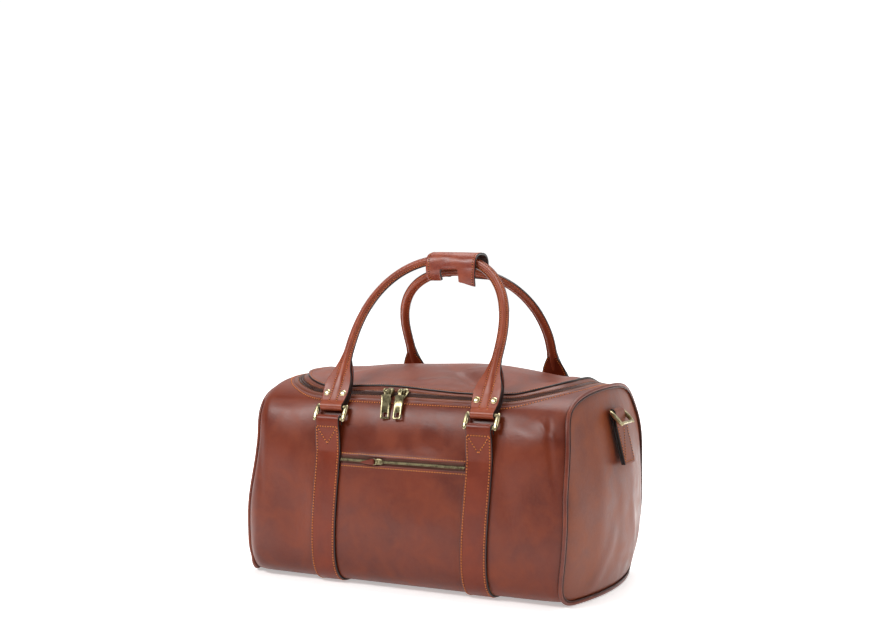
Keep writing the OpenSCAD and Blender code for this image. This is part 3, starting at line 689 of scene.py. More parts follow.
def wall_row(x, s, lift=0.12):
    """A row lying on the wall through the points x, s, with the section's normals."""
    x, s = np.broadcast_arrays(np.asarray(x, float), np.asarray(s, float))
    _, _, ny, nz = ring_point(s)
    return skin(x, s, lift), np.stack([0 * ny, ny, nz], -1)


edge_q = np.linspace(0.05, 4.95, 700)
ex, ey = rim(edge_q, opening + 4.2)
lid_q = np.linspace(0.1, 4.9, 700)
lx, ly = rim(lid_q, -3.4)
pocket_rows = [wall_row(np.linspace(-93, 103, 90), pocket_arc + d) for d in (8.6, -9.0)]
_, _, ny, nz = ring_point(arc_at(ly))
lid_row = top_at(lx, ly, 1.6, lid_edge_wave(lx, ly) * np.exp(-3.4 / 18))
sewn("stitches_wall", [wall_row(ex, arc_at(ey))] + pocket_rows, "bag")
sewn("stitches_lid", [(lid_row, np.stack([0 * ny, ny, nz], -1))], "lid", 3.6, 0.8)
for name, body, g0, lift in (("stitches_zip_lid", "lid", 6.4, -0.35), ("stitches_zip_wall", "bag", 15.6, -0.45)):
    rx, ry = rim(edge_q, g0)
    _, _, ny, nz = ring_point(arc_at(ry))
    sewn(name, [(on_band(edge_q, g0, lift), np.stack([0 * ny, ny, nz], -1))], body, 2.6, 0.55)

# ---------------------------------------------------------------- the straps
# Two doubled straps, 40 mm wide and about 4 mm thick, run under the bag and up both sides. They are sewn down along
# both edges; each end is turned over a ring's lower bar and closed with a row and a V of stitches. Edges are painted.
strap_leather = pull_up_leather("pull_up_strap_leather", "#702811", "#5c1f0f", "#7e3012", "#763622", cloud=70.0,
                                gloss=0.36, wax=0.0)
strap_x, strap_mid = 118.5, 5.0        # half the distance between the straps; the pair sits 5 mm right of the middle
tilt = math.radians(31.52)
upper_bar = np.array([-136.0, 253.1])
lower_bar = upper_bar - 19 * np.array([math.sin(tilt), math.cos(tilt)])
strap_round = np.concatenate([np.stack([np.linspace(-0.95, 0.95, 9), 1 - 0.1 * np.linspace(-0.95, 0.95, 9) ** 2], 1),
                              [(0.985, 0.72), (1, 0.35), (1, -0.35), (0.985, -0.85)],
                              np.stack([np.linspace(0.95, -0.95, 9), -np.ones(9)], 1),
                              [(-0.985, -0.85), (-1, -0.35), (-1, 0.35), (-0.985, 0.72)]])
painted = np.array([8 <= j <= 12 or j >= 21 for j in range(26)])


def belt(x0, middle, over, half_wide, half_thick, profile=strap_round, slip=0.0):
    """A strap: its cross-section, scaled by half_wide along x and half_thick along over, carried along the middle line
    (depth, height) and shut with a face at both ends. slip moves each cross-section along x."""
    n = len(middle)
    w, h = np.broadcast_to(half_wide, n)[:, None], np.broadcast_to(half_thick, n)[:, None]
    x = x0 + np.broadcast_to(slip, n)[:, None] + w * profile[None, :, 0]
    yz = middle[:, None, :] + (h * profile[None, :, 1])[:, :, None] * over[:, None, :]
    points = np.concatenate([x[:, :, None], yz], -1)
    return points, capped(n, len(profile))


def belt_marks(line):
    """Which of a strap's faces are painted edges, its two ends included."""
    return np.concatenate([np.tile(painted, len(line) - 1).astype(int), [1, 1]])


def path_frame(line):
    """Unit normals of a line (depth, height): its direction turned a quarter to the left."""
    way = unit(np.gradient(line, axis=0))
    return np.stack([-way[:, 1], way[:, 0]], -1)


def smooth_line(points, step=2.0):
    """A line through points, resampled each step and rounded by averaging each point with its neighbours five times."""
    gone = walked(points)
    line = along(np.linspace(0, gone[-1], max(int(gone[-1] / step), 4)), gone, points)
    for _ in range(5):
        line[1:-1] = (line[:-2] + 2 * line[1:-1] + line[2:]) / 4
    return line


def rounded(points, step):
    """The same number of points on the smoothed line through them."""
    line = smooth_line(points, step)
    return line[np.linspace(0, len(line) - 1, len(points)).astype(int)]


# the front half of a strap's middle line: from under the bag, up the wall, over the ring's bar and back behind it
s = np.linspace(-body_half, 214, 150)
wall_line = skin(118.5 + 0 * s, s, 0.0)[:, 1:]
_, _, ny, nz = ring_point(s)
out = 1.25 + 0.85 * rise(s, 8, 50)
wall_line = wall_line + out[:, None] * np.stack([ny, nz], -1)
bend = np.radians(np.linspace(180, -20, 16))
over_bar = lower_bar + 4.3 * np.stack([np.cos(bend), np.sin(bend)], -1)
up_to_bar = smooth_line(np.concatenate([wall_line[-1:], [over_bar[0] - (0.2, 9)], over_bar[:1]]))[1:-1]
strap_line = np.concatenate([wall_line, up_to_bar, over_bar, [lower_bar + (4.0, -5), lower_bar + (4.6, -9)]])
strap_line[-40:] = rounded(strap_line[-40:], 1.0)
strap_over = path_frame(strap_line)
strap_gone = walked(strap_line)
wall_end = strap_gone[len(wall_line)]
thick = np.interp(strap_gone, [0, 110, 150, wall_end, wall_end + 25, 1000], [1.2, 1.2, 2.1, 2.1, 1.6, 1.6])
wide = np.interp(strap_gone, [0, wall_end + 26, wall_end + 38, 1000], [20, 20, 18.8, 18.8])


def on_strap(x, d):
    """A point on the strap's outer face at distance d along it, and the normal there."""
    c, o = along(d, strap_gone, strap_line), along(d, strap_gone, strap_over)
    h = np.interp(d, strap_gone, thick) * (1 - 0.1 * (x / 20) ** 2) + 0.1
    return np.concatenate([(x + 0 * d)[:, None], c + h[:, None] * o], -1), np.concatenate([0 * c[:, :1], o], -1)


def slanted(points):
    """The straps were sewn on a little askew: x falls by up to 9 mm, smoothly, from 200 mm high down to 30 mm."""
    return points - np.stack([9 * (1 - rise(points[..., 2], 30, 200)), 0 * points[..., 1], 0 * points[..., 1]], -1)


def both_ways(values):
    """Values along the front half, run backwards and then forwards again."""
    return np.concatenate([values[::-1], values[1:]])


both_line = np.concatenate([strap_line[::-1], strap_line[1:] * [-1, 1]])
both_over = np.concatenate([strap_over[::-1], strap_over[1:] * [-1, 1]])
mirror_y = np.array([1, -1, 1.0])
for side, end in ((-1, "left"), (1, "right")):
    points, faces = belt(strap_mid + side * strap_x, both_line, both_over, both_ways(wide), both_ways(thick))
    nodes = [part + end for part in ("strap_front_", "strap_base_", "strap_rear_")]
    nodes += ["strap_loops_front", "strap_loops_rear"] if side > 0 else []
    piece("strap_" + end, slanted(points), faces, [strap_leather, edge_paint], "bag", nodes,
          marks=belt_marks(both_line))
    rows = []
    top = wall_end + 34
    for p0, p1 in (((-16.8, 60), (-16.8, top)), ((16.8, 60), (16.8, top)), ((-16.8, top), (16.8, top)),
                   ((-14.6, top - 3), (0, top - 24)), ((0, top - 24), (14.6, top - 3))):
        f = np.linspace(0, 1, 120)
        row, up = on_strap(p0[0] + f * (p1[0] - p0[0]), p0[1] + f * (p1[1] - p0[1]))
        row = slanted(row + [strap_mid + side * strap_x, 0, 0])
        rows += [(row, up), (row * mirror_y, up * mirror_y)]
    sewn("stitches_strap_" + end, rows, "bag")

# ---------------------------------------------------------------- the handle rings
# Cast zinc links with an antique brass plating: two thin bars carry the leather, two fat rounded sides show.


def antique_brass(name, bright, dark, gloss):
    """Antique-brass plating: brushed back by tumbling, so the colour clouds over 6 mm from bright to tarnished,
    with fine 0.8 mm handling marks that change its gloss."""
    m, t, at = blank(name)
    tarnish = add(t, "TexNoise", {"Scale": 1000 / 6.0, "Detail": 4.0, "Roughness": 0.6}, {"Vector": at})
    marks = add(t, "TexNoise", {"Scale": 1000 / 0.8, "Detail": 2.0}, {"Vector": at})
    f = add(t, "MapRange", {"From Min": 0.42, "From Max": 0.7}, {"Value": tarnish.outputs["Fac"]})
    c = add(t, "MixRGB", {"Color1": paint(bright), "Color2": paint(dark)}, {"Fac": f.outputs[0]})
    r = add(t, "MapRange", {"To Min": gloss, "To Max": gloss + 0.2}, {"Value": marks.outputs["Fac"]})
    b = add(t, "Bump", {"Strength": 0.12, "Distance": 0.0002}, {"Height": marks.outputs["Fac"]})
    return finish_with(m, add(t, "BsdfPrincipled", {"Metallic": 1.0},
                              {"Base Color": c.outputs[0], "Roughness": r.outputs[0], "Normal": b.outputs[0]}))


ring_brass = antique_brass("antique_brass_rings", "#cabd97", "#85754e", 0.2)
rivet_brass = antique_brass("pale_brass_rivets", "#e6d7b0", "#c9b27c", 0.18)
slider_brass = antique_brass("antique_brass_zip_parts", "#9c9270", "#453e2c", 0.22)


def pebble(centre, half, power=0.7, n=14, m=24):
    """A rounded block: a superellipsoid, cosines and sines raised to power."""
    a = np.linspace(-math.pi / 2, math.pi / 2, n)[:, None]
    b = (np.arange(m) * 2 * math.pi / m)[None, :]
    e = lambda t: np.sign(t) * np.abs(t) ** power
    ca = np.maximum(np.abs(np.cos(a)), 0.02) ** power
    x, y = centre[0] + half[0] * ca * e(np.cos(b)), centre[1] + half[1] * ca * e(np.sin(b))
    return np.stack([x, y, centre[2] + half[2] * e(np.sin(a)) + 0 * b], -1), capped(n, m)


def link(width, drop, bar, side_half):
    """A link hung from its upper bar at the origin: two round bars of radius bar, drop apart, let into two long
    rounded side pieces of half sizes side_half."""
    x = np.linspace(-width / 2, width / 2, 5)
    bars = [tube(np.stack([x, 0 * x, np.full(5, -h)], -1), bar, 12, facing=(0, 1.0, 0)) for h in (0.0, drop)]
    sides = [pebble((e * width / 2, 0, -drop / 2), side_half, 0.8, 24, 20) for e in (-1, 1)]
    points, faces = joined(bars + sides)
    return stacked(points), faces


def on_handle(points, lean=tilt):
    """From a handle's own axes (x, outwards, up along it) to the bag's, for a front handle that leans in by lean."""
    p = np.asarray(points, float)
    y = upper_bar[0] - p[..., 1] * math.cos(lean) + p[..., 2] * math.sin(lean)
    z = upper_bar[1] + p[..., 1] * math.sin(lean) + p[..., 2] * math.cos(lean)
    return np.stack([strap_mid + p[..., 0], y, z], -1)


ring_parts, ring_faces = link(46.2, 19.0, 2.2, (3.7, 3.0, 13.2))
for end, m in (("front", np.array([1, 1, 1.0])), ("rear", mirror_y)):
    for side, which in ((-1, "left"), (1, "right")):
        name = "ring_" + end + "_" + which
        points = on_handle(ring_parts + [side * strap_x, 0, 0]) * m
        piece(name, points, ring_faces, [ring_brass], "rings_" + end, [name], slot="brass")

# ---------------------------------------------------------------- the handles
# Each handle is a strip of strap leather rolled round a cord and sewn in a row on both sides of it, so a round rib
# runs between two thin flanges with painted edges. Its ends flare into flat doubled tabs, turned round the ring's
# upper bar and held by two brass rivets.
handle_leather = pull_up_leather("pull_up_handle_leather", "#883c22", "#702d1a", "#984523", "#90563e", cloud=60.0,
                                 gloss=0.34)
leg = 97.0


def handle_line(reach, lean, sway, n=420):
    """Centre line of a grip (x, along) from the left ring to the right: straight legs, then a superellipse of
    exponent 2.3 whose middle is lean to the right; everything above the rings sways right by sway; evenly spaced."""
    a = np.linspace(0, math.pi, 400)
    power = lambda v: np.sign(v) * np.abs(v) ** 0.87
    arch = np.stack([lean - np.where(np.cos(a) > 0, strap_x + lean, strap_x - lean) * power(np.cos(a)),
                     leg + (reach - leg) * power(np.sin(a))], -1)
    line = np.concatenate([[(-strap_x, -5.6), (-strap_x, 20.0), (-strap_x, 60.0)], arch,
                           [(strap_x, 60.0), (strap_x, 20.0), (strap_x, -5.6)]])
    gone = walked(line)
    far = gone[-1] - 100
    near = np.concatenate([np.linspace(0, 100, 80), np.linspace(100, far, n)[1:-1], np.linspace(far, gone[-1], 80)])
    out = along(near, gone, line)
    out[:, 0] += sway * rise(out[:, 1], 0, 120)
    for _ in range(8):
        out[82:-82] = (out[81:-83] + 2 * out[82:-82] + out[83:-81]) / 4
    return out, near, gone[-1]


def lathe(profile, centre, axis, sides=20):
    """A turned part: its profile (radius, height) spun round the axis at centre."""
    axis = np.asarray(axis, float) / np.linalg.norm(axis)
    u = np.cross(axis, [1.0, 0, 0] if abs(axis[0]) < 0.9 else [0, 1.0, 0])
    u /= np.linalg.norm(u)
    w = np.cross(axis, u)
    a = np.arange(sides) * 2 * math.pi / sides
    r, h = np.asarray(profile, float).T
    spokes = np.cos(a)[None, :, None] * u + np.sin(a)[None, :, None] * w
    return np.asarray(centre, float) + h[:, None, None] * axis + r[:, None, None] * spokes, [lattice(len(r), sides,
                                                                                                     round_m=True)]


dome = np.array([(4.6, -0.6), (4.9, 0.0), (4.8, 0.5), (4.3, 1.0), (3.3, 1.45), (2.0, 1.75), (0.8, 1.85),
                 (0.02, 1.87)])
across = np.concatenate([np.linspace(-0.97, 0.97, 31), [0.995, 1.0, 1.0, 0.995], np.linspace(0.97, -0.97, 17),
                         [-0.995, -1.0, -1.0, -0.995]])
n_round = len(across)
# the backing sewn inside each tab: half its width against the height above the ring, with a rounded, flared top
backing_s = np.concatenate([np.linspace(4, 60, 24), [63, 66, 69, 71.5, 73.5, 75, 76]])
backing_w = np.interp(backing_s, [4, 10, 16, 26, 38, 48, 56, 62, 67, 71, 74, 76],
                      [18.9, 19.6, 21.4, 22.2, 21.2, 19.4, 17.2, 15.0, 12.8, 10.8, 9.4, 8.4])
for end, m, reach, lean, sway, slant in (("front", np.array([1, 1, 1.0]), 245.8, 6.0, 0.0, tilt),
                                         ("rear", mirror_y, 229.0, 4.0, 8.0, math.radians(33.2))):
    place = lambda p: on_handle(p, slant) * m
    outward = place(np.array([0, 1.0, 0])) - place(np.array([0, 0, 0.0]))
    line, gone, long = handle_line(reach, lean, sway)
    d = np.minimum(gone, long - gone) - 5.6          # distance above the ring's bar
    half_w = np.interp(d, [-5.6, 3, 8, 14, 22, 30, 38, 46, 54, 62, 72, 86, 200],
                       [18.0, 18.0, 18.6, 20.2, 20.9, 21.0, 20.4, 18.2, 15.0, 12.0, 9.5, 7.7, 7.2])
    row_half = np.interp(d, [-5.6, 12, 36, 56, 84, 200], [6.4, 6.0, 6.4, 6.0, 4.8, 4.6])
    rib_up = np.interp(d, [-5.6, 14, 30, 48, 70, 92, 200], [0.0, 0.3, 0.9, 2.6, 3.8, 4.3, 4.3])
    leaf = np.interp(d, [-5.6, 8, 26, 46, 70, 92, 200], [0.0, 3.9, 3.5, 3.0, 2.2, 1.6, 1.6])
    leaf = np.where(d < 9, np.sqrt(np.clip(5.7 ** 2 - np.minimum(d, 0) ** 2, 0.3,
                                           None)) * (1 - rise(d, 0, 9)) + 3.9 * rise(d, 0, 9), leaf)
    dish = 1.6 * rise(d, 18, 40) * rise(95 - d, 0, 35)               # the flared part curls forward at its edges
    # over share f of the half width the outer face is the leaf, a rib of (1 - (x/row)^2)^0.7 between the stitch rows,
    # a groove at each row and a curl that grows as f^2; the inner face is the same with 0.55 of the rib
    f = across[None, :]
    wide = np.abs(f) * half_w[:, None]
    rib = np.clip(1 - (wide / row_half[:, None]) ** 2, 0, 1) ** 0.7
    top = leaf[:, None] + rib_up[:, None] * rib - 0.45 * np.exp(-((wide - row_half[:, None]) / 0.9) ** 2) * (d > 6)[:, None]
    below = -leaf[:, None] - 0.55 * rib_up[:, None] * rib
    share = np.concatenate([np.ones(31), [0.8, 0.4, -0.4, -0.8], -np.ones(17), [-0.8, -0.4, 0.4, 0.8]])[None, :]
    height = np.where(np.abs(share) < 1, leaf[:, None] * share,
                      np.where(share > 0, top, below)) + dish[:, None] * f ** 2
    way = unit(np.gradient(line, axis=0))
    right = np.stack([way[:, 1], -way[:, 0]], -1)                    # in the handle's plane, to the right of its way
    plane = line[:, None, :] + (f * half_w[:, None])[:, :, None] * right[:, None, :]
    n = len(line)
    edge_seg = np.array([30 <= j <= 34 or j >= 51 for j in range(n_round)]).astype(int)
    body = "handle_" + end
    piece(body, place(np.stack([plane[:, :, 0], height, plane[:, :, 1]], -1)), capped(n, n_round),
          [handle_leather, edge_paint], body, [body + "_tabs", body + "_grip", body + "_core"],
          marks=np.concatenate([np.tile(edge_seg, n - 1), [0, 0]]), sharp=60)
    rows, use = [], d > 5
    for way_, h in ((1.0, leaf - 0.15), (-1.0, -leaf + 0.05)):
        for s_ in (-1, 1):
            beside = line + (s_ * row_half)[:, None] * right
            p = np.stack([beside[:, 0], h + dish * (row_half / half_w) ** 2, beside[:, 1]], -1)[use]
            rows.append((place(p), np.broadcast_to(way_ * outward, p.shape)))
    heads, backs = [], []
    for side in (-1, 1):
        heads += [lathe(dome, place(np.array([side * strap_x + x_, way_ * h, 20.0])), way_ * outward)
                  for x_ in (-13, 13) for way_, h in ((1.0, 3.9), (-1.0, 4.9))]
        k = np.interp(backing_s, d[:80], np.arange(80))
        k = k if side < 0 else n - 1 - k
        at_k = lambda table: np.interp(k, np.arange(n), table)
        mid = np.stack([at_k(line[:, 0]), -at_k(leaf) - 0.75, at_k(line[:, 1])], -1)
        turn_ = np.stack([at_k(right[:, 0]), 0 * k, at_k(right[:, 1])], -1)
        ring_ = strap_round[None, :, :] * np.stack([backing_w, 0 * backing_w + 0.85], -1)[:, None, :]
        curl = at_k(dish)[:, None] * np.minimum((ring_[..., 0] / at_k(half_w)[:, None]) ** 2, 1.3)
        curl = curl + 0.55 * at_k(rib_up)[:, None] * 0.25
        p = mid[:, None] + ring_[..., 0:1] * turn_[:, None] + (ring_[..., 1:2] + curl[..., None] - 0.4) * np.array([0, 1.0, 0])
        backs.append((place(p), capped(len(backing_s), len(strap_round))))
        inset = backing_w - 2.6
        for s_ in (-1, 1):
            q = mid + s_ * inset[:, None] * turn_ + np.array([0, -0.9, 0])
            q = q + (at_k(dish) * (inset / at_k(half_w)) ** 2)[:, None] * [0, 1, 0]
            rows.append((place(q[1:]), np.broadcast_to(-outward, q[1:].shape)))
    one = np.concatenate([np.tile(painted, len(backing_s) - 1).astype(int), [0, 1]])
    piece("handle_backing_" + end, *joined(backs), [strap_leather, edge_paint], body,
          marks=np.concatenate([one, one]))
    sewn("stitches_" + body, rows, body, 3.5, 1.05)
    piece("rivets_" + end, *joined(heads), [rivet_brass], body, [body + "_rivets"], slot="brass")

# ---------------------------------------------------------------- the handle wrap
# One piece of 3 mm leather laid over both grips like a saddle, with a notch in the middle of its skirts; a seam runs
# round each end, its cut edges are painted, and it closes behind with two press studs. The rear flap's corner curls out.
wrap_leather = pull_up_leather("pull_up_wrap_leather", "#8b412d", "#743226", "#9c4d2e", "#9a5d4b", cloud=34.0,
                               gloss=0.34)
# the wrap's inner face: dark leather in place of the light flesh side, painted shade inside the saddle
wrap_underside_painted_shade = pull_up_leather("dark_wrap_inside", "#3a211b", "#281613", "#472a20", "#4a3028", cloud=20.0, gloss=0.6)
x_wrap = np.concatenate([np.linspace(-25, -2.6, 12), np.linspace(-2.2, -1.0, 4), np.linspace(0.5, 27.5, 14),
                         np.linspace(29.0, 30.2, 4), np.linspace(30.6, 57, 13)])


def saddle(x, v):
    """The wrap's outer face at x: v runs 0 to 1 up the front skirt, to 2 over the top and to 3 down the back. The top
    is a superellipse of exponent 2.6 whose half width grows 5 mm to the right; the front skirt is 22 mm shorter in
    its notch, curls under left of it, and the back's right corner turns out."""
    x, v = np.broadcast_arrays(np.asarray(x, float), np.asarray(v, float))
    f = (x + 24) / 78
    w = 18.9 + 5 * f
    top = 473.2 - 1.2 * f ** 2 - 1.5 * np.exp(-(x + 24) / 3.0)
    notch = rise(x, -2.8, -0.8) * (1 - rise(x, 28.8, 30.8))
    foot = 431.0 - 2.0 * rise(x, 26, 31) - 6.0 * rise(x, 30, 60) + 17.0 * notch
    foot_back = 437.0 + 8 * notch - 3 * f
    knee = 451.0
    a = np.clip(v - 1, 0, 1) * math.pi
    y = -w * np.sign(np.cos(a)) * np.abs(np.cos(a)) ** 0.77
    z = knee + (top - knee) * np.abs(np.sin(a)) ** 0.77
    down = np.clip(1 - v, 0, 1) + np.clip(v - 2, 0, 1)
    z = z - down * np.where(v < 1.5, knee - foot, knee - foot_back)
    depth = np.where(v < 1, knee - z, 0)
    curl = (1 - rise(x, -4, 2)) * 9.0 * (depth / 19) ** 2.2 - rise(x, 20, 54) * 1.8 * np.sin(np.clip(depth / 25, 0,
                                                                                                     1) * math.pi)
    back = np.where(v > 2, knee - z, 0)
    flare = rise(x, 8, 54) * 10.0 * (back / 20) ** 1.4
    y = y + curl + flare
    sag = 0.9 * np.sin(x / 9.0) * np.exp(-((v - 1.25) / 0.35) ** 2) + 0.7 * hills(x, z, [(5, 460, 16, 5, 20, -1.0),
                                                                                         (34, 458, 10, 7, -30, 1.0)])
    return np.stack([x, y - sag * (v < 1.5), z], -1)


v_wrap = np.concatenate([np.linspace(0, 1, 13), 1 + np.linspace(0, 1, 37)[1:], 2 + np.linspace(0, 1, 13)[1:]])
x, v = np.meshgrid(x_wrap, v_wrap, indexing="ij")
wrap_middle = np.array([15, 0, 452.0])
piece("handle_wrap", saddle(x, v), lattice(*x.shape), [wrap_leather, wrap_underside_painted_shade, edge_paint], "handle_wrap",
      ["handle_wrap"], wall=3.0, middle=wrap_middle)


def saddle_row(x, v):
    """A stitch row on the wrap, with the normal taken from the two ways across its face."""
    p = saddle(x, v)
    n = np.cross(saddle(x + 0.5, v) - saddle(x - 0.5, v), saddle(x, v + 0.01) - saddle(x, v - 0.01))
    n = unit(n * np.sign(np.einsum("ij,ij->i", n, p - wrap_middle))[:, None])
    return p + 0.1 * n, n


v = np.linspace(0.08, 2.92, 300)
sewn("stitches_wrap", [saddle_row(-20.4 + 0 * v, v), saddle_row(53.4 + 0 * v, v)], "handle_wrap", 3.6, 0.85)
studs = [lathe(dome * [1.02, 1.0], [x_, 18.9 + 5 * (x_ + 24) / 78 + out, 441.6], [0, 1, 0.0], 28)
         for x_, out in ((-13.0, 0.2), (43.0, 0.2 + 3.1))]
piece("wrap_studs", *joined(studs), [rivet_brass], "handle_wrap", ["wrap_snaps"], slot="brass")

# ---------------------------------------------------------------- the main zip's sliders and pulls
# Two die-cast sliders, nose to nose, in antique brass: a rounded body with a domed nose and a bridge, and on each
# bridge a stamped pull, a plate with an eye at its top and a square window near its foot.
zip_turn, pull_turn = math.radians(31), math.radians(27)


def turned(parts, angle, at, twist=0.0):
    """Parts turned about x by angle, after a twist about z, and moved to at."""
    c, s_, ct, st = math.cos(angle), math.sin(angle), math.cos(twist), math.sin(twist)
    m = np.array([[1, 0, 0], [0, c, -s_], [0, s_, c]]) @ np.array([[ct, -st, 0], [st, ct, 0], [0, 0, 1]])
    return [(stacked(p) @ m.T + at, f) for p, f in parts]


def box_loop(cx, cz, w, h, r, n=4, straight=6):
    """A rectangle's outline with rounded corners, straight points on each side so that two outlines match."""
    a = np.radians(np.linspace(0, 90, n))
    pts = []
    for sx, sz, a0 in ((1, 1, 0), (-1, 1, 90), (-1, -1, 180), (1, -1, 270)):
        b = a + math.radians(a0)
        pts.append(np.stack([cx + sx * (w / 2 - r) + r * np.cos(b), cz + sz * (h / 2 - r) + r * np.sin(b)], -1))
    out = []
    for i in range(4):
        out.append(pts[i])
        p, q = pts[i][-1], pts[(i + 1) % 4][0]
        out.append(p + np.linspace(0, 1, straight + 2)[1:-1, None] * (q - p))
    return np.concatenate(out)


def windowed(outer, inner, y0, y1, bevel=0.35):
    """A plate between depths y0 and y1 with one window: loops from the back's edge round the outside to the front,
    in to the window and back through it, closed on itself."""
    mid = outer.mean(0)
    inset = mid + (outer - mid) * (1 - bevel / np.abs(outer - mid).max(0))
    hole = inner.mean(0) + (inner - inner.mean(0)) * (1 + bevel / np.abs(inner - inner.mean(0)).max(0))
    loops = [(inset, y1), (outer, y1 - bevel), (outer, y0 + bevel), (inset, y0),
             (hole, y0), (inner, y0 + bevel), (inner, y1 - bevel), (hole, y1)]
    rings = np.stack([np.stack([l[:, 0], np.full(len(l), y), l[:, 1]], -1) for l, y in loops])
    return rings, [lattice(8, len(outer), True, True)]


def hoop(r_in, r_out, half, axis, n=28):
    """A flat ring spun about an axis through the origin: a rounded square section between two radii."""
    low = [(r_in, -half + 0.3), (r_in + 0.3, -half), (r_out - 0.3, -half), (r_out, -half + 0.3)]
    ring = low + [(r, -h) for r, h in low[::-1]]
    p, _ = lathe(ring, (0, 0, 0.0), axis, n)
    return p, [lattice(8, n, True, True)]


bridge = np.array([-107 - 4.4 * math.cos(zip_turn) - 7.1 * math.sin(zip_turn),
                   272.6 - 4.4 * math.sin(zip_turn) + 7.1 * math.cos(zip_turn)])
for x_, nose, which, twist, sway in ((-36.0, 1, "left", 0.3, 0.16), (-12.0, -1, "right", 0.0, 0.1)):
    # sole, nose, front and rear cheeks, the bridge's two posts and two bosses, and the bar between them
    parts = [pebble((0, -3.2, 2.2), (7.8, 7.0, 1.7), 0.5), pebble((nose * 5.0, -2.4, 4.0), (5.4, 5.6, 4.4), 0.85),
             pebble((0, -8.6, 2.2), (6.8, 2.8, 2.3), 0.8), pebble((0, 2.6, 3.2), (6.2, 2.6, 2.6), 0.8)]
    parts += [pebble((e * 4.1, -4.0, 5.7), (1.25, 3.4, 4.2), 0.75) for e in (-1, 1)]
    parts += [pebble((e * 5.2, -4.4, 7.1), (1.8, 2.7, 2.7), 1.0) for e in (-1, 1)]
    parts += [tube([(-5, -4.4, 7.1), (0, -4.4, 7.1), (5, -4.4, 7.1)], 1.1, 12, facing=(0, 0, 1.0))]
    parts = [(stacked(p) * [0.84, 1.2, 1.2] + [0, 0.8, -0.8], f) for p, f in parts]
    parts = joined(turned(parts, zip_turn, np.array([x_, -107.0, 272.6])))
    piece("slider_" + which, *parts, [slider_brass], "slider_" + which, ["slider_" + which], slot="brass")
    plate = windowed(box_loop(0, -25.6, 13.2, 36.0, 1.4), box_loop(0, -37.6, 6.8, 7.2, 0.5), -7.6, -5.2)
    neck = [pebble((0, -6.2, -5.6), (3.2, 1.3, 3.4), 0.5), pebble((0, -3.6, -2.8), (3.0, 3.6, 1.1), 0.5)]
    # a pull hangs straight down, so it swings a little sideways on its eye by sway and turns on itself by twist
    swing = np.array([[math.cos(sway), 0, math.sin(sway)], [0, 1, 0], [-math.sin(sway), 0, math.cos(sway)]])
    hung = [hoop(1.45, 2.95, 2.5, (1, 0, 0))] + [(stacked(p) @ swing, f) for p, f in [plate] + neck]
    parts = joined(turned(hung, -pull_turn, np.array([x_, *bridge]), twist))
    piece("pull_" + which, *parts, [slider_brass], "pull_" + which, ["pull_" + which], slot="brass")

# ---------------------------------------------------------------- the pocket
# A number 5 metal zip behind two leather lips: tapes woven in dark polyester, brass teeth clamped on them, a small
# slider with a split ring, and a folded leather thong that hangs to its left. The pocket's bag is lining cloth.
pocket_y, pocket_z, pocket_slider_x = -147.6, 181.0, -30.0
# zip tape: reddish-brown woven polyester, threads 0.4 mm apart drawn at 1 mm
zip_tape, t, at = blank("brown_zip_tape")
weave = add(t, "TexWave", {"Scale": 1000 / 6.283, "Distortion": 0.3}, {"Vector": at}, bands_direction="X")
c = add(t, "MixRGB", {"Color1": paint("#43241a"), "Color2": paint("#5a3325")}, {"Fac": weave.outputs["Fac"]})
b = add(t, "Bump", {"Strength": 0.4, "Distance": 0.0002}, {"Height": weave.outputs["Fac"]})
finish_with(zip_tape, add(t, "BsdfPrincipled", {"Roughness": 0.85},
                          {"Base Color": c.outputs[0], "Normal": b.outputs[0]}))
for up_, which in ((1, "upper"), (-1, "lower")):
    x, h = np.meshgrid(np.linspace(-92, 102, 60), np.linspace(0, 1, 5), indexing="ij")
    tape = np.stack([x, pocket_y + 1.0 + 0.35 * h ** 2 + 0.15 * np.sin(x / 7.0), pocket_z + up_ * (0.9 + 6.6 * h)],
                    -1)
    piece("pocket_tape_" + which, tape, lattice(*x.shape), [zip_tape], "bag", ["pocket_zip_tape"] if up_ > 0 else [],
          slot="cloth", wall=0.7)

# a tooth: eight corners, and a point on its front and its back; every other tooth is upside down
tooth = np.array([[-0.5, -0.9, -1.9], [0.5, -0.9, -1.9], [0.62, -0.75, 0.35], [-0.62, -0.75, 0.35],
                  [-0.5, 0.9, -1.9], [0.5, 0.9, -1.9], [0.5, 0.75, 0.45], [-0.5, 0.75, 0.45],
                  [0.0, -1.15, -0.6], [0.0, 1.0, -0.6]])
tooth_faces = np.array([[0, 1, 8], [1, 2, 8], [2, 3, 8], [3, 0, 8], [5, 4, 9], [6, 5, 9], [7, 6, 9], [4, 7, 9],
                        [1, 0, 4], [1, 4, 5], [2, 1, 5], [2, 5, 6], [3, 2, 6], [3, 6, 7], [0, 3, 7], [0, 7, 4]])
x = np.arange(-92, 102, 1.35)
odd = (np.arange(len(x)) % 2 == 1)[:, None, None]
teeth = np.where(odd, tooth * [1, 1, -1], tooth) + np.stack([x, 0 * x + pocket_y - 0.35, 0 * x + pocket_z],
                                                            -1)[:, None]
flip = np.where(odd, tooth_faces[None, :, ::-1], tooth_faces) + 10 * np.arange(len(x))[:, None, None]
piece("pocket_teeth", teeth, flip.reshape(-1, 3), [slider_brass], "bag", ["pocket_zip_teeth"], slot="brass")

pocket_at = np.array([pocket_slider_x, pocket_y, pocket_z])
parts = [pebble((0, -1.9, 0), (6.0, 1.5, 4.2), 0.55), pebble((3.8, -2.2, 0), (2.6, 1.8, 3.4), 0.8)]
parts += [pebble((-3.4, -4.2, h), (1.5, 2.0, 0.8), 0.7) for h in (2.6, -2.6)]
parts += [tube([(-3.4, -4.8, -2.9), (-3.4, -4.8, 0), (-3.4, -4.8, 2.9)], 0.9, 10)]
parts = joined(turned(parts, 0.0, pocket_at))
piece("pocket_slider", *parts, [slider_brass], "pocket_slider", ["pocket_slider"], slot="brass")

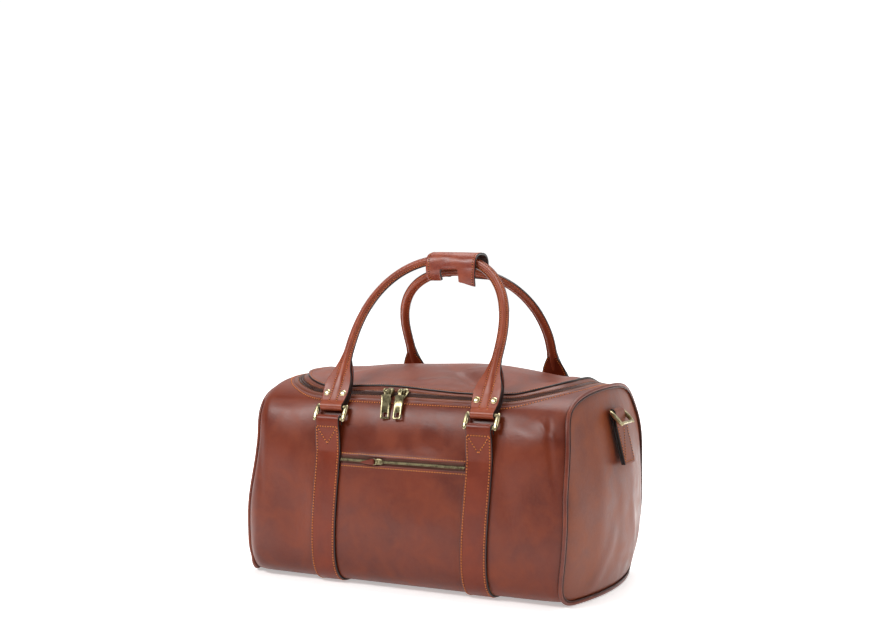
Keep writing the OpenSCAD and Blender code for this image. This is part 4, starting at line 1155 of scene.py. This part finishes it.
a = np.arange(32) * 2 * math.pi / 32
ring_path = np.stack([3.6 * np.cos(a) - 6.1, np.cos(a) - 5.5, 3.9 * np.sin(a)], -1)
split_ring = tube(ring_path, 0.7, 8, True, facing=(0, 1.0, 0))
# the thong's middle line: from its free end up to the ring, round it and back, in plan (x, y)
turn = np.radians(np.linspace(90, -90, 12))
line = np.concatenate([np.stack([np.linspace(-27, -8.6, 16), np.linspace(-4.6, -3.2, 16)], -1)[:-1],
                       np.stack([-8.4 + 2.1 * np.cos(turn), -5.3 + 2.1 * np.sin(turn)], -1),
                       np.stack([np.linspace(-8.8, -26, 16), np.linspace(-7.4, -6.3, 16)], -1)[1:]])
over = path_frame(line)
wide_thong = np.interp(np.abs(np.linspace(-1, 1, len(line))), [0, 0.25, 0.6, 1.0], [3.9, 4.4, 3.1, 0.9])
p, f = belt(0, line, over, wide_thong, 0.75)
p = np.stack([p[..., 1], p[..., 2], p[..., 0] + 0.10 * (p[..., 1] + 8) + 0.2], -1)
parts = joined(turned([split_ring], 0.0, pocket_at))
piece("pocket_ring", *parts, [slider_brass], "pocket_pull", ["pocket_pull"], slot="brass")
piece("pocket_thong", p + pocket_at, f, [strap_leather, edge_paint], "pocket_pull", ["pocket_pull"],
      marks=belt_marks(line))

bag_x = np.linspace(-97, 97, 40)
x, s = np.meshgrid(bag_x, np.linspace(62, 172, 30), indexing="ij")
edge = np.minimum(1, np.minimum(97 - np.abs(x), np.minimum(s - 62, 172.01 - s)) / 8)
piece("pocket_cloth", skin(x, s, -4.6 - 1.4 * np.clip(edge, 0, 1)), lattice(*x.shape), [twill], "bag", ["pocket_bag"],
      slot="cloth", wall=0.8)

# ---------------------------------------------------------------- the end tabs and their rings
# At each end a strip is folded over a ring's bar and sewn flat on itself, 6 mm thick, with its cut sides painted
# black; the ring for the shoulder strap lies out over it, one fat side each way.
tab_lean, tab_x0 = math.radians(13), 264.7
bend = np.radians(np.linspace(175, 0, 18))
inner = np.stack([np.linspace(-0.6, -1.6, 30), np.linspace(-73.5, -14, 30)], -1)
outer_leaf = np.stack([np.linspace(2.0, 2.6, 30), np.linspace(-15, -74, 30)], -1)
loop_line = np.concatenate([inner, [(-2.6, -8)], np.stack([3.75 * np.cos(bend), 3.75 * np.sin(bend)], -1),
                            [(3.2, -7)], outer_leaf])
loop_line[28:56] = rounded(loop_line[28:56], 0.9)
over = path_frame(loop_line)
tab_wide = np.interp(loop_line[:, 1], [-74, -20, -6, 4], [21, 21, 19.4, 18.8])
tab_thick = np.interp(loop_line[:, 1], [-74, -18, -4, 4], [1.55, 1.6, 1.35, 1.3])


def on_end(p, side):
    """From a tab's own axes (out, across, up along it) to the bag's, at one end."""
    x = tab_x0 + p[..., 0] * math.cos(tab_lean) - p[..., 2] * math.sin(tab_lean)
    z = 252.0 + p[..., 0] * math.sin(tab_lean) + p[..., 2] * math.cos(tab_lean)
    return np.stack([side * x, p[..., 1], z], -1)


p, f = belt(0, loop_line, over, tab_wide, tab_thick)
tab_points = np.stack([p[..., 1], p[..., 0], p[..., 2]], -1)
end_link, end_link_faces = link(45.0, 21.0, 2.1, (3.2, 2.9, 13.6))
ring_turn = math.radians(58)
for side, end in ((-1, "left"), (1, "right")):
    piece("end_tab_" + end, on_end(tab_points, side), f, [end_leather, edge_paint], "bag", ["end_tab_" + end],
          marks=belt_marks(loop_line))
    rows = []
    for (y0, z0), (y1, z1) in (((-17.6, -22), (-17.6, -70.5)), ((17.6, -22), (17.6, -70.5)),
                               ((-17.6, -70.5), (17.6, -70.5)), ((5.0, -24), (-15.5, -68))):
        g = np.linspace(0, 1, 90)
        z = z0 + g * (z1 - z0)
        q = np.stack([np.interp(-z, [15, 74], [2.0, 2.6]) + 1.75, y0 + g * (y1 - y0), z], -1)
        rows.append((on_end(q, side), np.broadcast_to([side * math.cos(tab_lean), 0, math.sin(tab_lean)], q.shape)))
    sewn("stitches_tab_" + end, rows, "bag", 3.8, 0.85)
    # the link's own axes are across the tab, its thickness and up; it lies out from the tab by ring_turn
    drop, thick_ = -end_link[:, 2], end_link[:, 1]
    c, k = math.cos(ring_turn), math.sin(ring_turn)
    points = on_end(np.stack([drop * c + thick_ * k, end_link[:, 0], thick_ * c - drop * k], -1), side)
    piece("end_ring_" + end, points, end_link_faces, [ring_brass], "end_ring_" + end, ["end_ring_" + end],
          slot="brass")

# ---------------------------------------------------------------- the lining and the base board
# Dark twill hangs inside the shell, sewn in at the zip; on the bottom lies a stiff board covered in the same cloth.
x, s = np.meshgrid(np.linspace(-236, 236, 60), np.linspace(-body_half, 250, 90), indexing="ij")
for m, which in ((1, "front"), (-1, "back")):
    piece("lining_" + which, skin(x, s, -6.4) * [1, m, 1], lattice(*x.shape), [twill], "bag", ["lining"],
          slot="cloth", wall=0.8)
for side, end in ((-1, "left"), (1, "right")):
    g, s_ = np.meshgrid(shares[1:], loop_s, indexing="ij")
    face = end_face(side, g, s_, -7.5)
    face[..., 2] = np.minimum(face[..., 2], 255 + 0.02 * face[..., 2])
    face[..., 1:] = np.array([0, 142.0]) + (face[..., 1:] - [0, 142.0]) * 0.96
    piece("lining_end_" + end, [end_face(side, 0.0, np.array([0.0]), -7.5), face], end_faces,
          [twill], "bag", ["lining"], slot="cloth", wall=0.8)
points, faces = pebble((0, 0, 10.9), (222, 96, 1.6), 0.12, 12, 96)
piece("base_board", points, faces, [twill], "bag", ["base_board"], slot="cloth")
